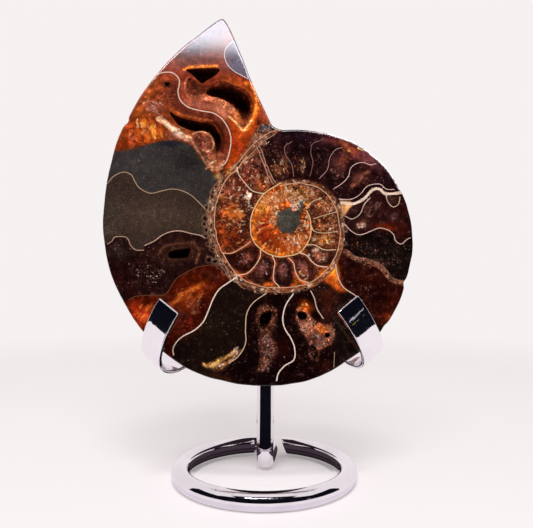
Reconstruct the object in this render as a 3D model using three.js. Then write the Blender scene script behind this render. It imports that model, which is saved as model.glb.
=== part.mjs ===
// Polished half of an ammonite, standing in a bright bent-metal display stand.
//
// Millimetres, +Z up, the cut and polished face looks towards -Y. The stand is a
// round rod bent into an open ring that lies on the table, turned inwards at the
// back and up into a post, and two flat strips that run from the top of the post
// down behind the fossil and curl forward under its rim. The fossil is one solid:
// a flat cut face in front and the rounded shell, with its umbilicus, behind.
import * as THREE from 'three';

// ---- driving dimensions (mm, degrees) -----------------------------------------
const ROD_DIAMETER = 5.0;        // rod of the ring and the post
const ROD_SIDES = 12;            // section of the rod, one flat side down
const RING_RADIUS = 25.0;        // ring, to the middle of the rod
const RING_FREE_END = 75;        // angle of the ring's cut end, from +X
const RING_TURN_IN = 99.5;       // angle where the rod leaves the ring
const RING_STEP = 4.5;           // angle between sections of the ring
const END_SLANT_UP = 1.1;        // slant of the cut end, over the rod's height
const END_SLANT_OUT = 0.6;       // slant of the cut end, across the rod
const FOOT_BEND_RADIUS = 5.0;    // bend from the ring to the middle
const FOOT_HEADING = -96;        // direction of the rod after that bend
const ELBOW_RADIUS = 4.5;        // bend from the foot up into the post
const POST_Y = 5.0;              // post, at the top of the elbow
const POST_LEAN = 2.9;           // backward lean of the post
const POST_TOP = 67.2;           // height of the post's end

const STRIP_WIDTH = 7.6;
const STRIP_THICKNESS = 1.4;
const MITRE_X = 0.7;             // plane in which the two strips meet
const MITRE_GAP = 0.3;           // half of the gap there
// Each strip: its front end, the tilt of its run in the cut face, the turn of its
// flat side, and the two radii of the hook that it is bent to.
const LEFT_STRIP = { side: -1, end: [-25.5, -20.7, 53.25], tilt: 37.5, turn: 23.5,
  start: 9.5, frontLength: 14.2, frontRadius: 24.5, hookRadius: 11.3 };
const RIGHT_STRIP = { side: 1, end: [22.45, -20.4, 53.8], tilt: 38.6, turn: 16.3,
  start: 5.8, frontLength: 13.5, frontRadius: 26.2, hookRadius: 10.4 };

const FACE_LEAN = 7.0;                 // cut face leans back by this much
const FACE_POINT = [0, -12.5, 50.0];   // a point of the cut face
const SPIRAL_CENTRE = [6.872, 26.715]; // in the cut face: across, up
const WHORL_RATIO = 2.25;              // growth of the shell in one turn
const UMBILICUS = 0.24;                // umbilical seam, as a part of the radius
const HALF_THICKNESS = 0.24;           // half breadth of a whorl, as a part of the radius
const RIM_EDGE = 0.8;                  // blunt edge left at the rim
const NOTCH = 89;                      // row of RIM where the outer whorl begins
// Rim of the cut face about the spiral's centre: angle from +X, radius. It runs from
// the tip of the outer whorl round the shell to the notch, then up the broken mouth.
const RIM = [
  [107.46, 64.45], [108.76, 64.26], [110.70, 63.66], [112.87, 62.90], [116.34, 61.83], [119.74, 61.20],
  [123.10, 60.38], [127.29, 59.49], [131.36, 58.53], [135.24, 57.80], [139.18, 57.11], [143.11, 56.37],
  [147.06, 55.76], [151.09, 55.47], [155.09, 54.99], [159.12, 54.34], [163.17, 53.86], [167.20, 53.57],
  [171.28, 53.25], [175.32, 53.06], [179.37, 53.05], [183.44, 52.96], [187.48, 52.74], [191.53, 52.67],
  [195.59, 52.55], [199.63, 52.34], [203.66, 52.03], [207.71, 51.79], [211.73, 51.69], [215.78, 51.55],
  [218.09, 51.40], [221.04, 51.30], [226.58, 50.93], [233.22, 50.47], [236.19, 50.20], [239.77, 49.73],
  [243.76, 49.21], [247.73, 48.49], [251.72, 48.09], [255.70, 47.54], [259.68, 47.05], [263.49, 46.58],
  [267.62, 46.16], [271.59, 45.65], [275.59, 45.30], [279.57, 44.73], [283.57, 44.12], [287.57, 43.44],
  [291.54, 42.72], [298.08, 41.93], [304.26, 41.09], [309.70, 40.54], [311.80, 40.28], [315.91, 39.75],
  [319.95, 39.17], [324.05, 38.68], [328.14, 38.01], [332.26, 37.30], [336.35, 36.97], [340.46, 36.61],
  [344.55, 36.43], [348.66, 36.10], [352.78, 35.64], [356.85, 35.31], [360.95, 34.94], [365.02, 34.53],
  [369.10, 34.21], [373.19, 33.85], [377.25, 33.46], [381.29, 33.09], [385.34, 32.83], [389.33, 32.44],
  [394.23, 31.89], [398.18, 31.37], [401.55, 31.13], [405.30, 30.69], [409.44, 30.24], [413.17, 29.83],
  [417.84, 29.26], [421.64, 28.84], [425.06, 28.55], [429.12, 28.12], [432.98, 27.79], [436.68, 27.62],
  [440.41, 27.41], [444.24, 27.26], [448.15, 27.13], [453.07, 27.07], [457.19, 27.85], [459.36, 28.92],
  [461.75, 34.25], [462.50, 36.30], [464.32, 43.43], [465.04, 49.64], [465.50, 53.36], [465.93, 56.98],
  [466.22, 59.34], [466.57, 61.81], [466.92, 63.27],
];
const BACK_ROWS = [0.05, 0.10, 0.125, 0.18, 0.228, 0.25, 0.32, 0.43, 0.56, 0.69, 0.80, 0.885, 0.945, 0.98, 1.0];

const ORIGIN_SHIFT = [1.956, 0.135, 0]; // puts the origin under the middle of the whole object

// ---- helpers ----------------------------------------------------------------------
const rad = THREE.MathUtils.degToRad;

// Closed solid from vertices and triangles, turned so that its faces point out.
function solid(vertices, triangles) {
  let volume = 0;
  const cross = new THREE.Vector3();
  for (const [a, b, c] of triangles) {
    volume += vertices[a].dot(cross.crossVectors(vertices[b], vertices[c])) / 6;
  }
  const geometry = new THREE.BufferGeometry();
  geometry.setFromPoints(vertices);
  geometry.setIndex(triangles.flatMap(([a, b, c]) => (volume < 0 ? [a, c, b] : [a, b, c])));
  geometry.computeVertexNormals();
  return geometry;
}

// Solid through a run of sections that all have the same number of corners.
function loft(sections) {
  const n = sections[0].length;
  const vertices = sections.flat();
  const triangles = [];
  for (let i = 0; i + 1 < sections.length; i++) {
    for (let j = 0; j < n; j++) {
      const a = i * n + j;
      const b = i * n + ((j + 1) % n);
      triangles.push([a, b, b + n], [a, b + n, a + n]);
    }
  }
  const last = (sections.length - 1) * n;
  for (let j = 1; j + 1 < n; j++) {
    triangles.push([0, j + 1, j], [last, last + j, last + j + 1]);
  }
  return solid(vertices, triangles);
}

// ---- ring, foot and post: one bent rod -----------------------------------------------
function rodGeometry() {
  const half = ROD_DIAMETER / 2;
  const corner = half / Math.cos(Math.PI / ROD_SIDES);
  const stations = []; // centre, across, up
  const flat = (x, y, heading) => stations.push({
    centre: new THREE.Vector3(x, y, half),
    along: new THREE.Vector3(Math.cos(heading), Math.sin(heading), 0),
    up: new THREE.Vector3(0, 0, 1),
  });

  // the ring, from its cut end clockwise round the front to the back
  const sweep = RING_FREE_END + 360 - RING_TURN_IN;
  const steps = Math.round(sweep / RING_STEP);
  for (let i = 0; i <= steps; i++) {
    const a = rad(RING_FREE_END - (sweep * i) / steps);
    flat(RING_RADIUS * Math.cos(a), RING_RADIUS * Math.sin(a), a - Math.PI / 2);
  }
  // the bend towards the middle
  const leave = rad(RING_TURN_IN - 90);
  const bendX = RING_RADIUS * Math.cos(rad(RING_TURN_IN)) + FOOT_BEND_RADIUS * Math.sin(leave);
  const bendY = RING_RADIUS * Math.sin(rad(RING_TURN_IN)) - FOOT_BEND_RADIUS * Math.cos(leave);
  for (let i = 1; i <= 9; i++) {
    const h = leave + ((rad(FOOT_HEADING) - leave) * i) / 9;
    flat(bendX - FOOT_BEND_RADIUS * Math.sin(h), bendY + FOOT_BEND_RADIUS * Math.cos(h), h);
  }
  // the elbow, in the upright plane of the foot
  const h = rad(FOOT_HEADING);
  const forward = new THREE.Vector3(Math.cos(h), Math.sin(h), 0);
  const start = stations[stations.length - 1].centre;
  const run = (start.y - (POST_Y + ELBOW_RADIUS)) / -forward.y;
  const begin = start.clone().addScaledVector(forward, run);
  for (let i = 0; i <= 9; i++) {
    const t = (rad(90 + POST_LEAN) * i) / 9;
    const along = forward.clone().multiplyScalar(Math.cos(t)).add(new THREE.Vector3(0, 0, Math.sin(t)));
    const up = forward.clone().multiplyScalar(-Math.sin(t)).add(new THREE.Vector3(0, 0, Math.cos(t)));
    const centre = begin.clone()
      .addScaledVector(forward, ELBOW_RADIUS * Math.sin(t))
      .add(new THREE.Vector3(0, 0, ELBOW_RADIUS * (1 - Math.cos(t))));
    stations.push({ centre, along, up });
  }
  // the post
  const elbow = stations[stations.length - 1];
  const length = (POST_TOP - elbow.centre.z) / elbow.along.z;
  for (const part of [0.5, 1]) {
    stations.push({
      centre: elbow.centre.clone().addScaledVector(elbow.along, length * part),
      along: elbow.along, up: elbow.up,
    });
  }
  const sections = stations.map(({ centre, along, up }, s) => {
    const across = new THREE.Vector3().crossVectors(along, up);
    const section = [];
    for (let j = 0; j < ROD_SIDES; j++) {
      const a = ((j + 0.5) * 2 * Math.PI) / ROD_SIDES - Math.PI / 2;
      const p = centre.clone()
        .addScaledVector(across, corner * Math.cos(a))
        .addScaledVector(up, corner * Math.sin(a));
      if (s === 0) { // slanted cut of the free end; 'across' points to the middle of the ring
        p.addScaledVector(along, -END_SLANT_UP * Math.sin(a) + END_SLANT_OUT * Math.cos(a));
      }
      section.push(p);
    }
    return section;
  });
  return loft(sections);
}

// ---- strips --------------------------------------------------------------------------------
function faceAxes() {
  const l = rad(FACE_LEAN);
  return {
    origin: new THREE.Vector3(...FACE_POINT),
    right: new THREE.Vector3(1, 0, 0),
    up: new THREE.Vector3(0, Math.sin(l), Math.cos(l)),
    back: new THREE.Vector3(0, Math.cos(l), -Math.sin(l)),
  };
}

function stripGeometry(strip) {
  const { up, back } = faceAxes();
  const tilt = rad(strip.tilt);
  const turn = rad(strip.turn);
  const inward = new THREE.Vector3(-strip.side, 0, 0);
  const rise = inward.clone().multiplyScalar(Math.sin(tilt)).addScaledVector(up, Math.cos(tilt));
  const level = inward.clone().multiplyScalar(Math.cos(tilt)).addScaledVector(up, -Math.sin(tilt));
  const depth = back.clone().multiplyScalar(Math.cos(turn)).addScaledVector(level, Math.sin(turn));
  const width = level.clone().multiplyScalar(Math.cos(turn)).addScaledVector(back, -Math.sin(turn));
  const end = new THREE.Vector3(...strip.end);

  // outer side of the strip in its own plane: height along the run, depth, direction
  const line = [];
  let theta = rad(strip.start);
  let r = 0;
  let d = 0;
  const arc = (radius, angle, steps) => {
    for (let i = 0; i < steps; i++) {
      const next = theta + angle / steps;
      r -= radius * (Math.sin(next) - Math.sin(theta));
      d += radius * (Math.cos(theta) - Math.cos(next));
      theta = next;
      line.push([r, d, theta]);
    }
  };
  line.push([r, d, theta]);
  arc(strip.frontRadius, strip.frontLength / strip.frontRadius, 4);
  arc(strip.hookRadius, Math.PI - theta, 14);
  line.push([r + 6, d, theta]);

  const limit = MITRE_X + strip.side * MITRE_GAP;
  const corner = ([lr, ld, lt], inner, k, mitred) => {
    const t = inner ? STRIP_THICKNESS : 0;
    let pr = lr + t * Math.sin(lt);
    const pd = ld + t * Math.cos(lt);
    if (mitred) pr = (limit - end.x - pd * depth.x - k * STRIP_WIDTH * width.x) / rise.x;
    return end.clone().addScaledVector(rise, pr).addScaledVector(depth, pd).addScaledVector(width, k * STRIP_WIDTH);
  };
  const sections = line.map((p) => [corner(p, false, -0.5), corner(p, false, 0.5), corner(p, true, 0.5), corner(p, true, -0.5)]);
  const tail = line[line.length - 1];
  sections.push([corner(tail, false, -0.5, true), corner(tail, false, 0.5, true), corner(tail, true, 0.5, true), corner(tail, true, -0.5, true)]);
  return loft(sections);
}

// ---- fossil --------------------------------------------------------------------------------
// Thickness across one whorl, from the umbilical seam (0) to the outer rim (1).
function flank(s) {
  if (s < 0 || s > 1) return 0;
  if (s < 0.32) return 0.62 + 0.38 * Math.sin(((s / 0.32) * Math.PI) / 2);
  return Math.sqrt(Math.max(0, 1 - ((s - 0.32) / 0.68) ** 2.2));
}

function shellDepth(radius, whorlRadius) {
  let depth = RIM_EDGE;
  for (let k = 0; k < 4; k++) {
    const outer = whorlRadius / WHORL_RATIO ** k;
    const seam = UMBILICUS * outer;
    depth = Math.max(depth, HALF_THICKNESS * outer * flank((radius - seam) / (outer - seam)));
  }
  return depth;
}

function fossilGeometry() {
  const { origin, right, up, back } = faceAxes();
  const point = (u, v, w) => origin.clone().addScaledVector(right, u).addScaledVector(up, v).addScaledVector(back, w);
  const [cu, cv] = SPIRAL_CENTRE;
  const n = RIM.length;
  const m = BACK_ROWS.length;
  const vertices = [point(cu, cv, 0), point(cu, cv, 2.2)];
  const triangles = [];
  const front = vertices.length;
  for (const [angle, radius] of RIM) {
    const a = rad(angle);
    vertices.push(point(cu + radius * Math.cos(a), cv + radius * Math.sin(a), 0));
  }
  const rear = vertices.length;
  RIM.forEach(([angle, radius], i) => {
    const a = rad(angle);
    const whorl = i > NOTCH ? RIM[0][1] : radius; // past the notch the outer whorl's end overlaps
    for (const part of BACK_ROWS) {
      const q = part * radius;
      vertices.push(point(cu + q * Math.cos(a), cv + q * Math.sin(a), shellDepth(q, whorl)));
    }
  });
  for (let i = 0; i < n; i++) {
    const j = (i + 1) % n;
    triangles.push([0, front + j, front + i]);
    triangles.push([1, rear + i * m, rear + j * m]);
    for (let k = 0; k + 1 < m; k++) {
      const a = rear + i * m + k;
      const b = rear + j * m + k;
      triangles.push([a, a + 1, b + 1], [a, b + 1, b]);
    }
    const a = rear + i * m + m - 1;
    const b = rear + j * m + m - 1;
    triangles.push([a, front + i, front + j], [a, front + j, b]);
  }
  return solid(vertices, triangles);
}

// ---- assembly ------------------------------------------------------------------------------
const stone = new THREE.MeshStandardMaterial({ color: 0x5b321c, roughness: 0.22, metalness: 0 });
const bright = new THREE.MeshStandardMaterial({ color: 0xd8dade, roughness: 0.07, metalness: 1 });

function piece(name, geometry, material) {
  const mesh = new THREE.Mesh(geometry, material);
  mesh.name = name;
  return mesh;
}

const ammonite = new THREE.Group();
ammonite.position.set(...ORIGIN_SHIFT);
ammonite.add(
  piece('fossil', fossilGeometry(), stone),
  piece('ring_and_post', rodGeometry(), bright),
  piece('left_arm', stripGeometry(LEFT_STRIP), bright),
  piece('right_arm', stripGeometry(RIGHT_STRIP), bright),
);

export default ammonite;
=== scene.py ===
import math

import bpy
import numpy as np
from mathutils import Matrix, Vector
from mathutils.geometry import delaunay_2d_cdt
from mathutils.kdtree import KDTree


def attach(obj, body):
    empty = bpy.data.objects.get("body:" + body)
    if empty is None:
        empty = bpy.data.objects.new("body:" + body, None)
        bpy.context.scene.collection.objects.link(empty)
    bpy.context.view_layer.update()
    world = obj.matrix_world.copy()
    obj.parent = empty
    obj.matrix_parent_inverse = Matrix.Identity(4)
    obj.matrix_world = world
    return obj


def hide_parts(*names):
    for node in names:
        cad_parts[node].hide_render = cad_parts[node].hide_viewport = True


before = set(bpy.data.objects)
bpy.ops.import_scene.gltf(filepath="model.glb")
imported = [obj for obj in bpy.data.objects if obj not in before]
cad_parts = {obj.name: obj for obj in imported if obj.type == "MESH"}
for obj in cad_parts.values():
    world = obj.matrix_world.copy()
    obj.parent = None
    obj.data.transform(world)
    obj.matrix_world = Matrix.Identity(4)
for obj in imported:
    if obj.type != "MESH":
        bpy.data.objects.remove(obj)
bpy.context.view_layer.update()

# ---- frame ---------------------------------------------------------------------------
MM = 0.001
SHIFT = np.array([1.956, 0.135, 0.0])        # from the ring's middle to the origin
EYE = np.array([0.625, -183.25, 64.25])      # camera, from the ring's middle
FOCAL = 610.0                                # pixels
MID = np.array([266.5, 264.0])
LEAN = math.radians(7.0)
FACE_POINT = np.array([0.0, -12.5, 50.0])
RIGHT = np.array([1.0, 0.0, 0.0])
UP = np.array([0.0, math.sin(LEAN), math.cos(LEAN)])
BACK = np.array([0.0, math.cos(LEAN), -math.sin(LEAN)])
SPIRAL = np.array([6.872, 26.715])


def row(points):
    """Points about the ring's middle, in mm, to the row frame in metres."""
    return (np.asarray(points, float) + SHIFT) * MM


def to_face(px):
    """Picture points to the cut face: across, up, in mm."""
    px = np.atleast_2d(np.asarray(px, float))
    d = np.stack([(px[:, 0] - MID[0]) / FOCAL, np.ones(len(px)), -(px[:, 1] - MID[1]) / FOCAL], 1)
    t = ((FACE_POINT - EYE) @ BACK) / (d @ BACK)
    q = EYE + d * t[:, None] - FACE_POINT
    return np.stack([q @ RIGHT, q @ UP], 1)


def to_px(uv):
    q = FACE_POINT + uv[:, :1] * RIGHT + uv[:, 1:2] * UP - EYE
    return np.stack([MID[0] + FOCAL * q[:, 0] / q[:, 1], MID[1] - FOCAL * q[:, 2] / q[:, 1]], 1)


def face_points(uv, w):
    return FACE_POINT + uv[:, :1] * RIGHT + uv[:, 1:2] * UP + np.asarray(w)[:, None] * BACK


# ---- camera --------------------------------------------------------------------------
lens = bpy.data.cameras.new("camera")
lens.sensor_width = 36.0
lens.lens = 36.0 * FOCAL / 533.0
lens.clip_start, lens.clip_end = 0.01, 30.0
camera = bpy.data.objects.new("camera", lens)
bpy.context.scene.collection.objects.link(camera)
camera.location = Vector(row(EYE))
camera.rotation_euler = (math.pi / 2, 0.0, 0.0)
bpy.context.scene.camera = camera


# ---- numbers -------------------------------------------------------------------------
def smooth(x):
    x = np.clip(x, 0.0, 1.0)
    return x * x * (3 - 2 * x)


def hash01(ix, iy, seed):
    h = (ix.astype(np.int64) * 374761393 + iy.astype(np.int64) * 668265263 + seed * 144269504) & 0xFFFFFFFF
    h = ((h ^ (h >> 13)) * 1274126177) & 0xFFFFFFFF
    h = ((h ^ (h >> 15)) * 2246822519) & 0xFFFFFFFF
    h = h ^ (h >> 16)
    return (h & 0xFFFFFF) / float(0xFFFFFF)


def vnoise(p, f, seed):
    q = p * f
    i = np.floor(q)
    t = smooth(q - i)
    x, y = i[:, 0].astype(np.int64), i[:, 1].astype(np.int64)
    a = hash01(x, y, seed) * (1 - t[:, 0]) + hash01(x + 1, y, seed) * t[:, 0]
    b = hash01(x, y + 1, seed) * (1 - t[:, 0]) + hash01(x + 1, y + 1, seed) * t[:, 0]
    return a * (1 - t[:, 1]) + b * t[:, 1]


def fbm(p, f, seed, octaves=4):
    total, amp, norm = 0.0, 1.0, 0.0
    for k in range(octaves):
        total = total + amp * vnoise(p, f * 2 ** k, seed + 17 * k)
        norm += amp
        amp *= 0.55
    return total / norm


def cells(p, f, seed):
    """Nearest and second nearest distance to scattered points, and the cell's own number."""
    q = p * f
    i = np.floor(q)
    best = np.full(len(p), 9.0)
    second = np.full(len(p), 9.0)
    ident = np.zeros(len(p))
    for dx in (-1, 0, 1):
        for dy in (-1, 0, 1):
            cx, cy = i[:, 0] + dx, i[:, 1] + dy
            hx, hy = hash01(cx, cy, seed), hash01(cx, cy, seed + 91)
            d = np.hypot(cx + hx - q[:, 0], cy + hy - q[:, 1])
            nearer = d < best
            second = np.where(nearer, best, np.minimum(second, d))
            ident = np.where(nearer, hash01(cx, cy, seed + 7), ident)
            best = np.minimum(best, d)
    return best, second, ident


def curve(points, steps=5, closed=False):
    """Smooth line through points (centripetal enough for these short hops)."""
    p = np.asarray(points, float)
    n = len(p)
    if n < 3:
        return p
    out = []
    for i in range(n if closed else n - 1):
        p1, p2 = p[i], p[(i + 1) % n]
        p0 = p[i - 1] if (i > 0 or closed) else 2 * p1 - p2
        p3 = p[(i + 2) % n] if (i + 2 < n or closed) else 2 * p2 - p1
        for s in range(steps):
            t = s / steps
            out.append(0.5 * (2 * p1 + (p2 - p0) * t + (2 * p0 - 5 * p1 + 4 * p2 - p3) * t * t
                              + (3 * p1 - p0 - 3 * p2 + p3) * t ** 3))
    if not closed:
        out.append(p[-1])
    return np.array(out)


def resample(line, step, closed=False):
    line = np.asarray(line, float)
    if closed:
        line = np.vstack([line, line[:1]])
    s = np.concatenate([[0], np.cumsum(np.hypot(*np.diff(line, axis=0).T))])
    n = max(2, int(round(s[-1] / step)))
    t = np.linspace(0, s[-1], n + 1)
    if closed:
        t = t[:-1]
    return np.stack([np.interp(t, s, line[:, 0]), np.interp(t, s, line[:, 1])], 1)


def line_distance(p, line):
    best = np.full(len(p), 1e9)
    for a, b in zip(line[:-1], line[1:]):
        ab = b - a
        t = np.clip(((p - a) @ ab) / max(ab @ ab, 1e-12), 0, 1)
        d = p - a - t[:, None] * ab
        best = np.minimum(best, d[:, 0] ** 2 + d[:, 1] ** 2)
    return np.sqrt(best)


def inside(p, poly):
    odd = np.zeros(len(p), bool)
    for a, b in zip(poly, np.roll(poly, -1, axis=0)):
        if a[1] == b[1]:
            continue
        hit = (a[1] > p[:, 1]) != (b[1] > p[:, 1])
        odd ^= hit & (p[:, 0] < (b[0] - a[0]) * (p[:, 1] - a[1]) / (b[1] - a[1]) + a[0])
    return odd


def signed(p, poly):
    """Distance to a closed outline, below zero inside."""
    d = line_distance(p, np.vstack([poly, poly[:1]]))
    return np.where(inside(p, poly), -d, d)


def linear(rgb):
    c = np.clip(np.asarray(rgb, float) / 255.0, 0, 1)
    return np.where(c <= 0.04045, c / 12.92, ((c + 0.055) / 1.055) ** 2.4)


# ---- mesh making ---------------------------------------------------------------------
def mesh_piece(name, points, faces, smooth_faces=True):
    me = bpy.data.meshes.new(name)
    me.from_pydata([tuple(p) for p in points], [], [tuple(int(i) for i in f) for f in faces])
    me.update()
    if smooth_faces:
        me.polygons.foreach_set("use_smooth", np.ones(len(me.polygons), bool))
    ob = bpy.data.objects.new(name, me)
    bpy.context.scene.collection.objects.link(ob)
    return ob


def loft_faces(count, n):
    """Skin of a run of closed sections of n points; the callers add the caps."""
    faces = []
    for i in range(count - 1):
        for j in range(n):
            a, b = i * n + j, i * n + (j + 1) % n
            faces.append((a, b, b + n, a + n))
    return faces


# ---- stand: ring, foot and post ------------------------------------------------------
def rod_points(sides=40):
    half = 2.62
    stations = []

    def flat(x, y, h):
        stations.append((np.array([x, y, half]), np.array([math.cos(h), math.sin(h), 0.0]), np.array([0.0, 0.0, 1.0])))

    sweep = 75 + 360 - 99.5
    for i in range(181):
        a = math.radians(75 - sweep * i / 180)
        flat(25 * math.cos(a), 25 * math.sin(a), a - math.pi / 2)
    leave, target = math.radians(9.5), math.radians(-96)
    bx = 25 * math.cos(math.radians(99.5)) + 5 * math.sin(leave)
    by = 25 * math.sin(math.radians(99.5)) - 5 * math.cos(leave)
    for i in range(1, 29):
        h = leave + (target - leave) * i / 28
        flat(bx - 5 * math.sin(h), by + 5 * math.cos(h), h)
    forward = np.array([math.cos(target), math.sin(target), 0.0])
    start = stations[-1][0]
    run = (start[1] - 9.5) / -forward[1]
    begin = start + forward * run
    for part in (0.25, 0.5, 0.75):
        flat(*(start + forward * run * part)[:2], target)
    zed = np.array([0.0, 0.0, 1.0])
    for i in range(29):
        t = math.radians(92.9) * i / 28
        stations.append((begin + forward * 4.5 * math.sin(t) + zed * 4.5 * (1 - math.cos(t)),
                         forward * math.cos(t) + zed * math.sin(t), -forward * math.sin(t) + zed * math.cos(t)))
    c, along, up = stations[-1]
    length = (67.2 - c[2]) / along[2]
    for i in range(1, 41):
        stations.append((c + along * length * i / 40, along, up))

    pts = []
    ang = (np.arange(sides) + 0.5) * 2 * np.pi / sides - np.pi / 2

    def section(centre, along, up, radius, shift=0.0, slant=0.0):
        across = np.cross(along, up)
        ring = centre + radius * (np.cos(ang)[:, None] * across + np.sin(ang)[:, None] * up)
        ring = ring + along * (shift + slant * (-1.1 * np.sin(ang) + 0.6 * np.cos(ang)) * radius / half)[:, None]
        pts.extend(ring)

    # slanted cut end, its edge just broken
    c0, a0, u0 = stations[0]
    section(c0, a0, u0, half - 0.34, np.zeros(sides), 1.0)
    section(c0, a0, u0, half - 0.16, np.full(sides, 0.03), 1.0)
    section(c0, a0, u0, half - 0.04, np.full(sides, 0.14), 1.0)
    for k, (c, a, u) in enumerate(stations):
        if k < 1:
            section(c, a, u, half, np.full(sides, 0.34), 1.0)
        elif k < len(stations) - 1:
            fade = max(0.0, 1.0 - k / 3.0)
            section(c, a, u, half, np.zeros(sides), fade)
    c1, a1, u1 = stations[-1]
    section(c1, a1, u1, half, np.full(sides, -0.34))
    section(c1, a1, u1, half - 0.04, np.full(sides, -0.14))
    section(c1, a1, u1, half - 0.16, np.full(sides, -0.03))
    section(c1, a1, u1, half - 0.34, np.zeros(sides))
    n = sides
    count = len(pts) // n
    faces = loft_faces(count, n)
    faces.append(tuple(range(n - 1, -1, -1)))
    faces.append(tuple((count - 1) * n + j for j in range(n)))
    return np.array(pts), faces


# ---- stand: strips -------------------------------------------------------------------
LEFT_STRIP = dict(side=-1, end=(-25.5, -20.7, 53.25), tilt=37.5, turn=23.5, start=9.5,
                  length=14.2, front=24.5, hook=11.3)
RIGHT_STRIP = dict(side=1, end=(22.45, -20.4, 53.8), tilt=38.6, turn=16.3, start=5.8,
                   length=13.5, front=26.2, hook=10.4)
STRIP_W, STRIP_T = 7.6, 1.4


def strip_points(s):
    tilt, turn = math.radians(s["tilt"]), math.radians(s["turn"])
    inward = np.array([-s["side"], 0.0, 0.0])
    rise = inward * math.sin(tilt) + UP * math.cos(tilt)
    level = inward * math.cos(tilt) - UP * math.sin(tilt)
    depth = BACK * math.cos(turn) + level * math.sin(turn)
    width = level * math.cos(turn) - BACK * math.sin(turn)
    end = np.array(s["end"])
    line = []
    th, r, d = math.radians(s["start"]), 0.0, 0.0
    line.append((r, d, th))
    for radius, angle, steps in ((s["front"], s["length"] / s["front"], 22), (s["hook"], None, 64)):
        angle = math.pi - th if angle is None else angle
        for _ in range(steps):
            nx = th + angle / steps
            r -= radius * (math.sin(nx) - math.sin(th))
            d += radius * (math.cos(th) - math.cos(nx))
            th = nx
            line.append((r, d, th))
    # section: across k, through t, with rounded long edges
    e = 0.33
    sec = []
    for (ck, ct, a0) in ((STRIP_W / 2 - e, e, -90), (STRIP_W / 2 - e, STRIP_T - e, 0),
                         (-STRIP_W / 2 + e, STRIP_T - e, 90), (-STRIP_W / 2 + e, e, 180)):
        for i in range(6):
            a = math.radians(a0 + 90 * i / 5)
            sec.append((ck + e * math.cos(a), ct + e * math.sin(a)))
    # extra points along the flats keep the shading even
    full = []
    for i, (k, t) in enumerate(sec):
        full.append((k, t))
        k2, t2 = sec[(i + 1) % len(sec)]
        gap = math.hypot(k2 - k, t2 - t)
        if gap > 1.5:
            for j in range(1, 8):
                full.append((k + (k2 - k) * j / 8, t + (t2 - t) * j / 8))
    sec = np.array(full)
    n = len(sec)
    pts = []

    def put(r, d, th, shrink=0.0, forward=0.0, limit=None):
        k, t = sec[:, 0].copy(), sec[:, 1].copy()
        if shrink:
            k = k * (1 - 2 * shrink / STRIP_W)
            t = STRIP_T / 2 + (t - STRIP_T / 2) * (1 - 2 * shrink / STRIP_T)
        pr = r - forward * math.cos(th) + t * math.sin(th)
        pd = d + forward * math.sin(th) + t * math.cos(th)
        if limit is not None:
            pr = (limit - end[0] - pd * depth[0] - k * width[0]) / rise[0]
        pts.extend(end + pr[:, None] * rise + pd[:, None] * depth + k[:, None] * width)

    r0, d0, th0 = line[0]
    for shrink, forward in ((0.34, 0.0), (0.17, 0.05), (0.05, 0.17), (0.0, 0.36)):
        put(r0, d0, th0, shrink, forward)
    for p in line[1:]:
        put(*p)
    r1, d1, th1 = line[-1]
    limit = 0.7 + s["side"] * 0.3
    reach = (limit - end[0] - d1 * depth[0]) / rise[0] - r1
    for i in range(1, 24):
        put(r1 + (reach - 6.0) * i / 23, d1, th1)
    put(r1, d1, th1, limit=limit - s["side"] * 0.0)
    count = len(pts) // n
    faces = loft_faces(count, n)
    faces.append(tuple(range(n - 1, -1, -1)))
    faces.append(tuple((count - 1) * n + j for j in range(n)))
    return np.array(pts), faces


# ---- fossil: outline -----------------------------------------------------------------
RIM = [
    (107.46, 64.45), (108.76, 64.26), (110.70, 63.66), (112.87, 62.90), (116.34, 61.83), (119.74, 61.20),
    (123.10, 60.38), (127.29, 59.49), (131.36, 58.53), (135.24, 57.80), (139.18, 57.11), (143.11, 56.37),
    (147.06, 55.76), (151.09, 55.47), (155.09, 54.99), (159.12, 54.34), (163.17, 53.86), (167.20, 53.57),
    (171.28, 53.25), (175.32, 53.06), (179.37, 53.05), (183.44, 52.96), (187.48, 52.74), (191.53, 52.67),
    (195.59, 52.55), (199.63, 52.34), (203.66, 52.03), (207.71, 51.79), (211.73, 51.69), (215.78, 51.55),
    (218.09, 51.40), (221.04, 51.30), (226.58, 50.93), (233.22, 50.47), (236.19, 50.20), (239.77, 49.73),
    (243.76, 49.21), (247.73, 48.49), (251.72, 48.09), (255.70, 47.54), (259.68, 47.05), (263.49, 46.58),
    (267.62, 46.16), (271.59, 45.65), (275.59, 45.30), (279.57, 44.73), (283.57, 44.12), (287.57, 43.44),
    (291.54, 42.72), (298.08, 41.93), (304.26, 41.09), (309.70, 40.54), (311.80, 40.28), (315.91, 39.75),
    (319.95, 39.17), (324.05, 38.68), (328.14, 38.01), (332.26, 37.30), (336.35, 36.97), (340.46, 36.61),
    (344.55, 36.43), (348.66, 36.10), (352.78, 35.64), (356.85, 35.31), (360.95, 34.94), (365.02, 34.53),
    (369.10, 34.21), (373.19, 33.85), (377.25, 33.46), (381.29, 33.09), (385.34, 32.83), (389.33, 32.44),
    (394.23, 31.89), (398.18, 31.37), (401.55, 31.13), (405.30, 30.69), (409.44, 30.24), (413.17, 29.83),
    (417.84, 29.26), (421.64, 28.84), (425.06, 28.55), (429.12, 28.12), (432.98, 27.79), (436.68, 27.62),
    (440.41, 27.41), (444.24, 27.26), (448.15, 27.13), (453.07, 27.07), (457.19, 27.85), (459.36, 28.92),
    (461.75, 34.25), (462.50, 36.30), (464.32, 43.43), (465.04, 49.64), (465.50, 53.36), (465.93, 56.98),
    (466.22, 59.34), (466.57, 61.81), (466.92, 63.27),
]
NOTCH = 89


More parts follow.
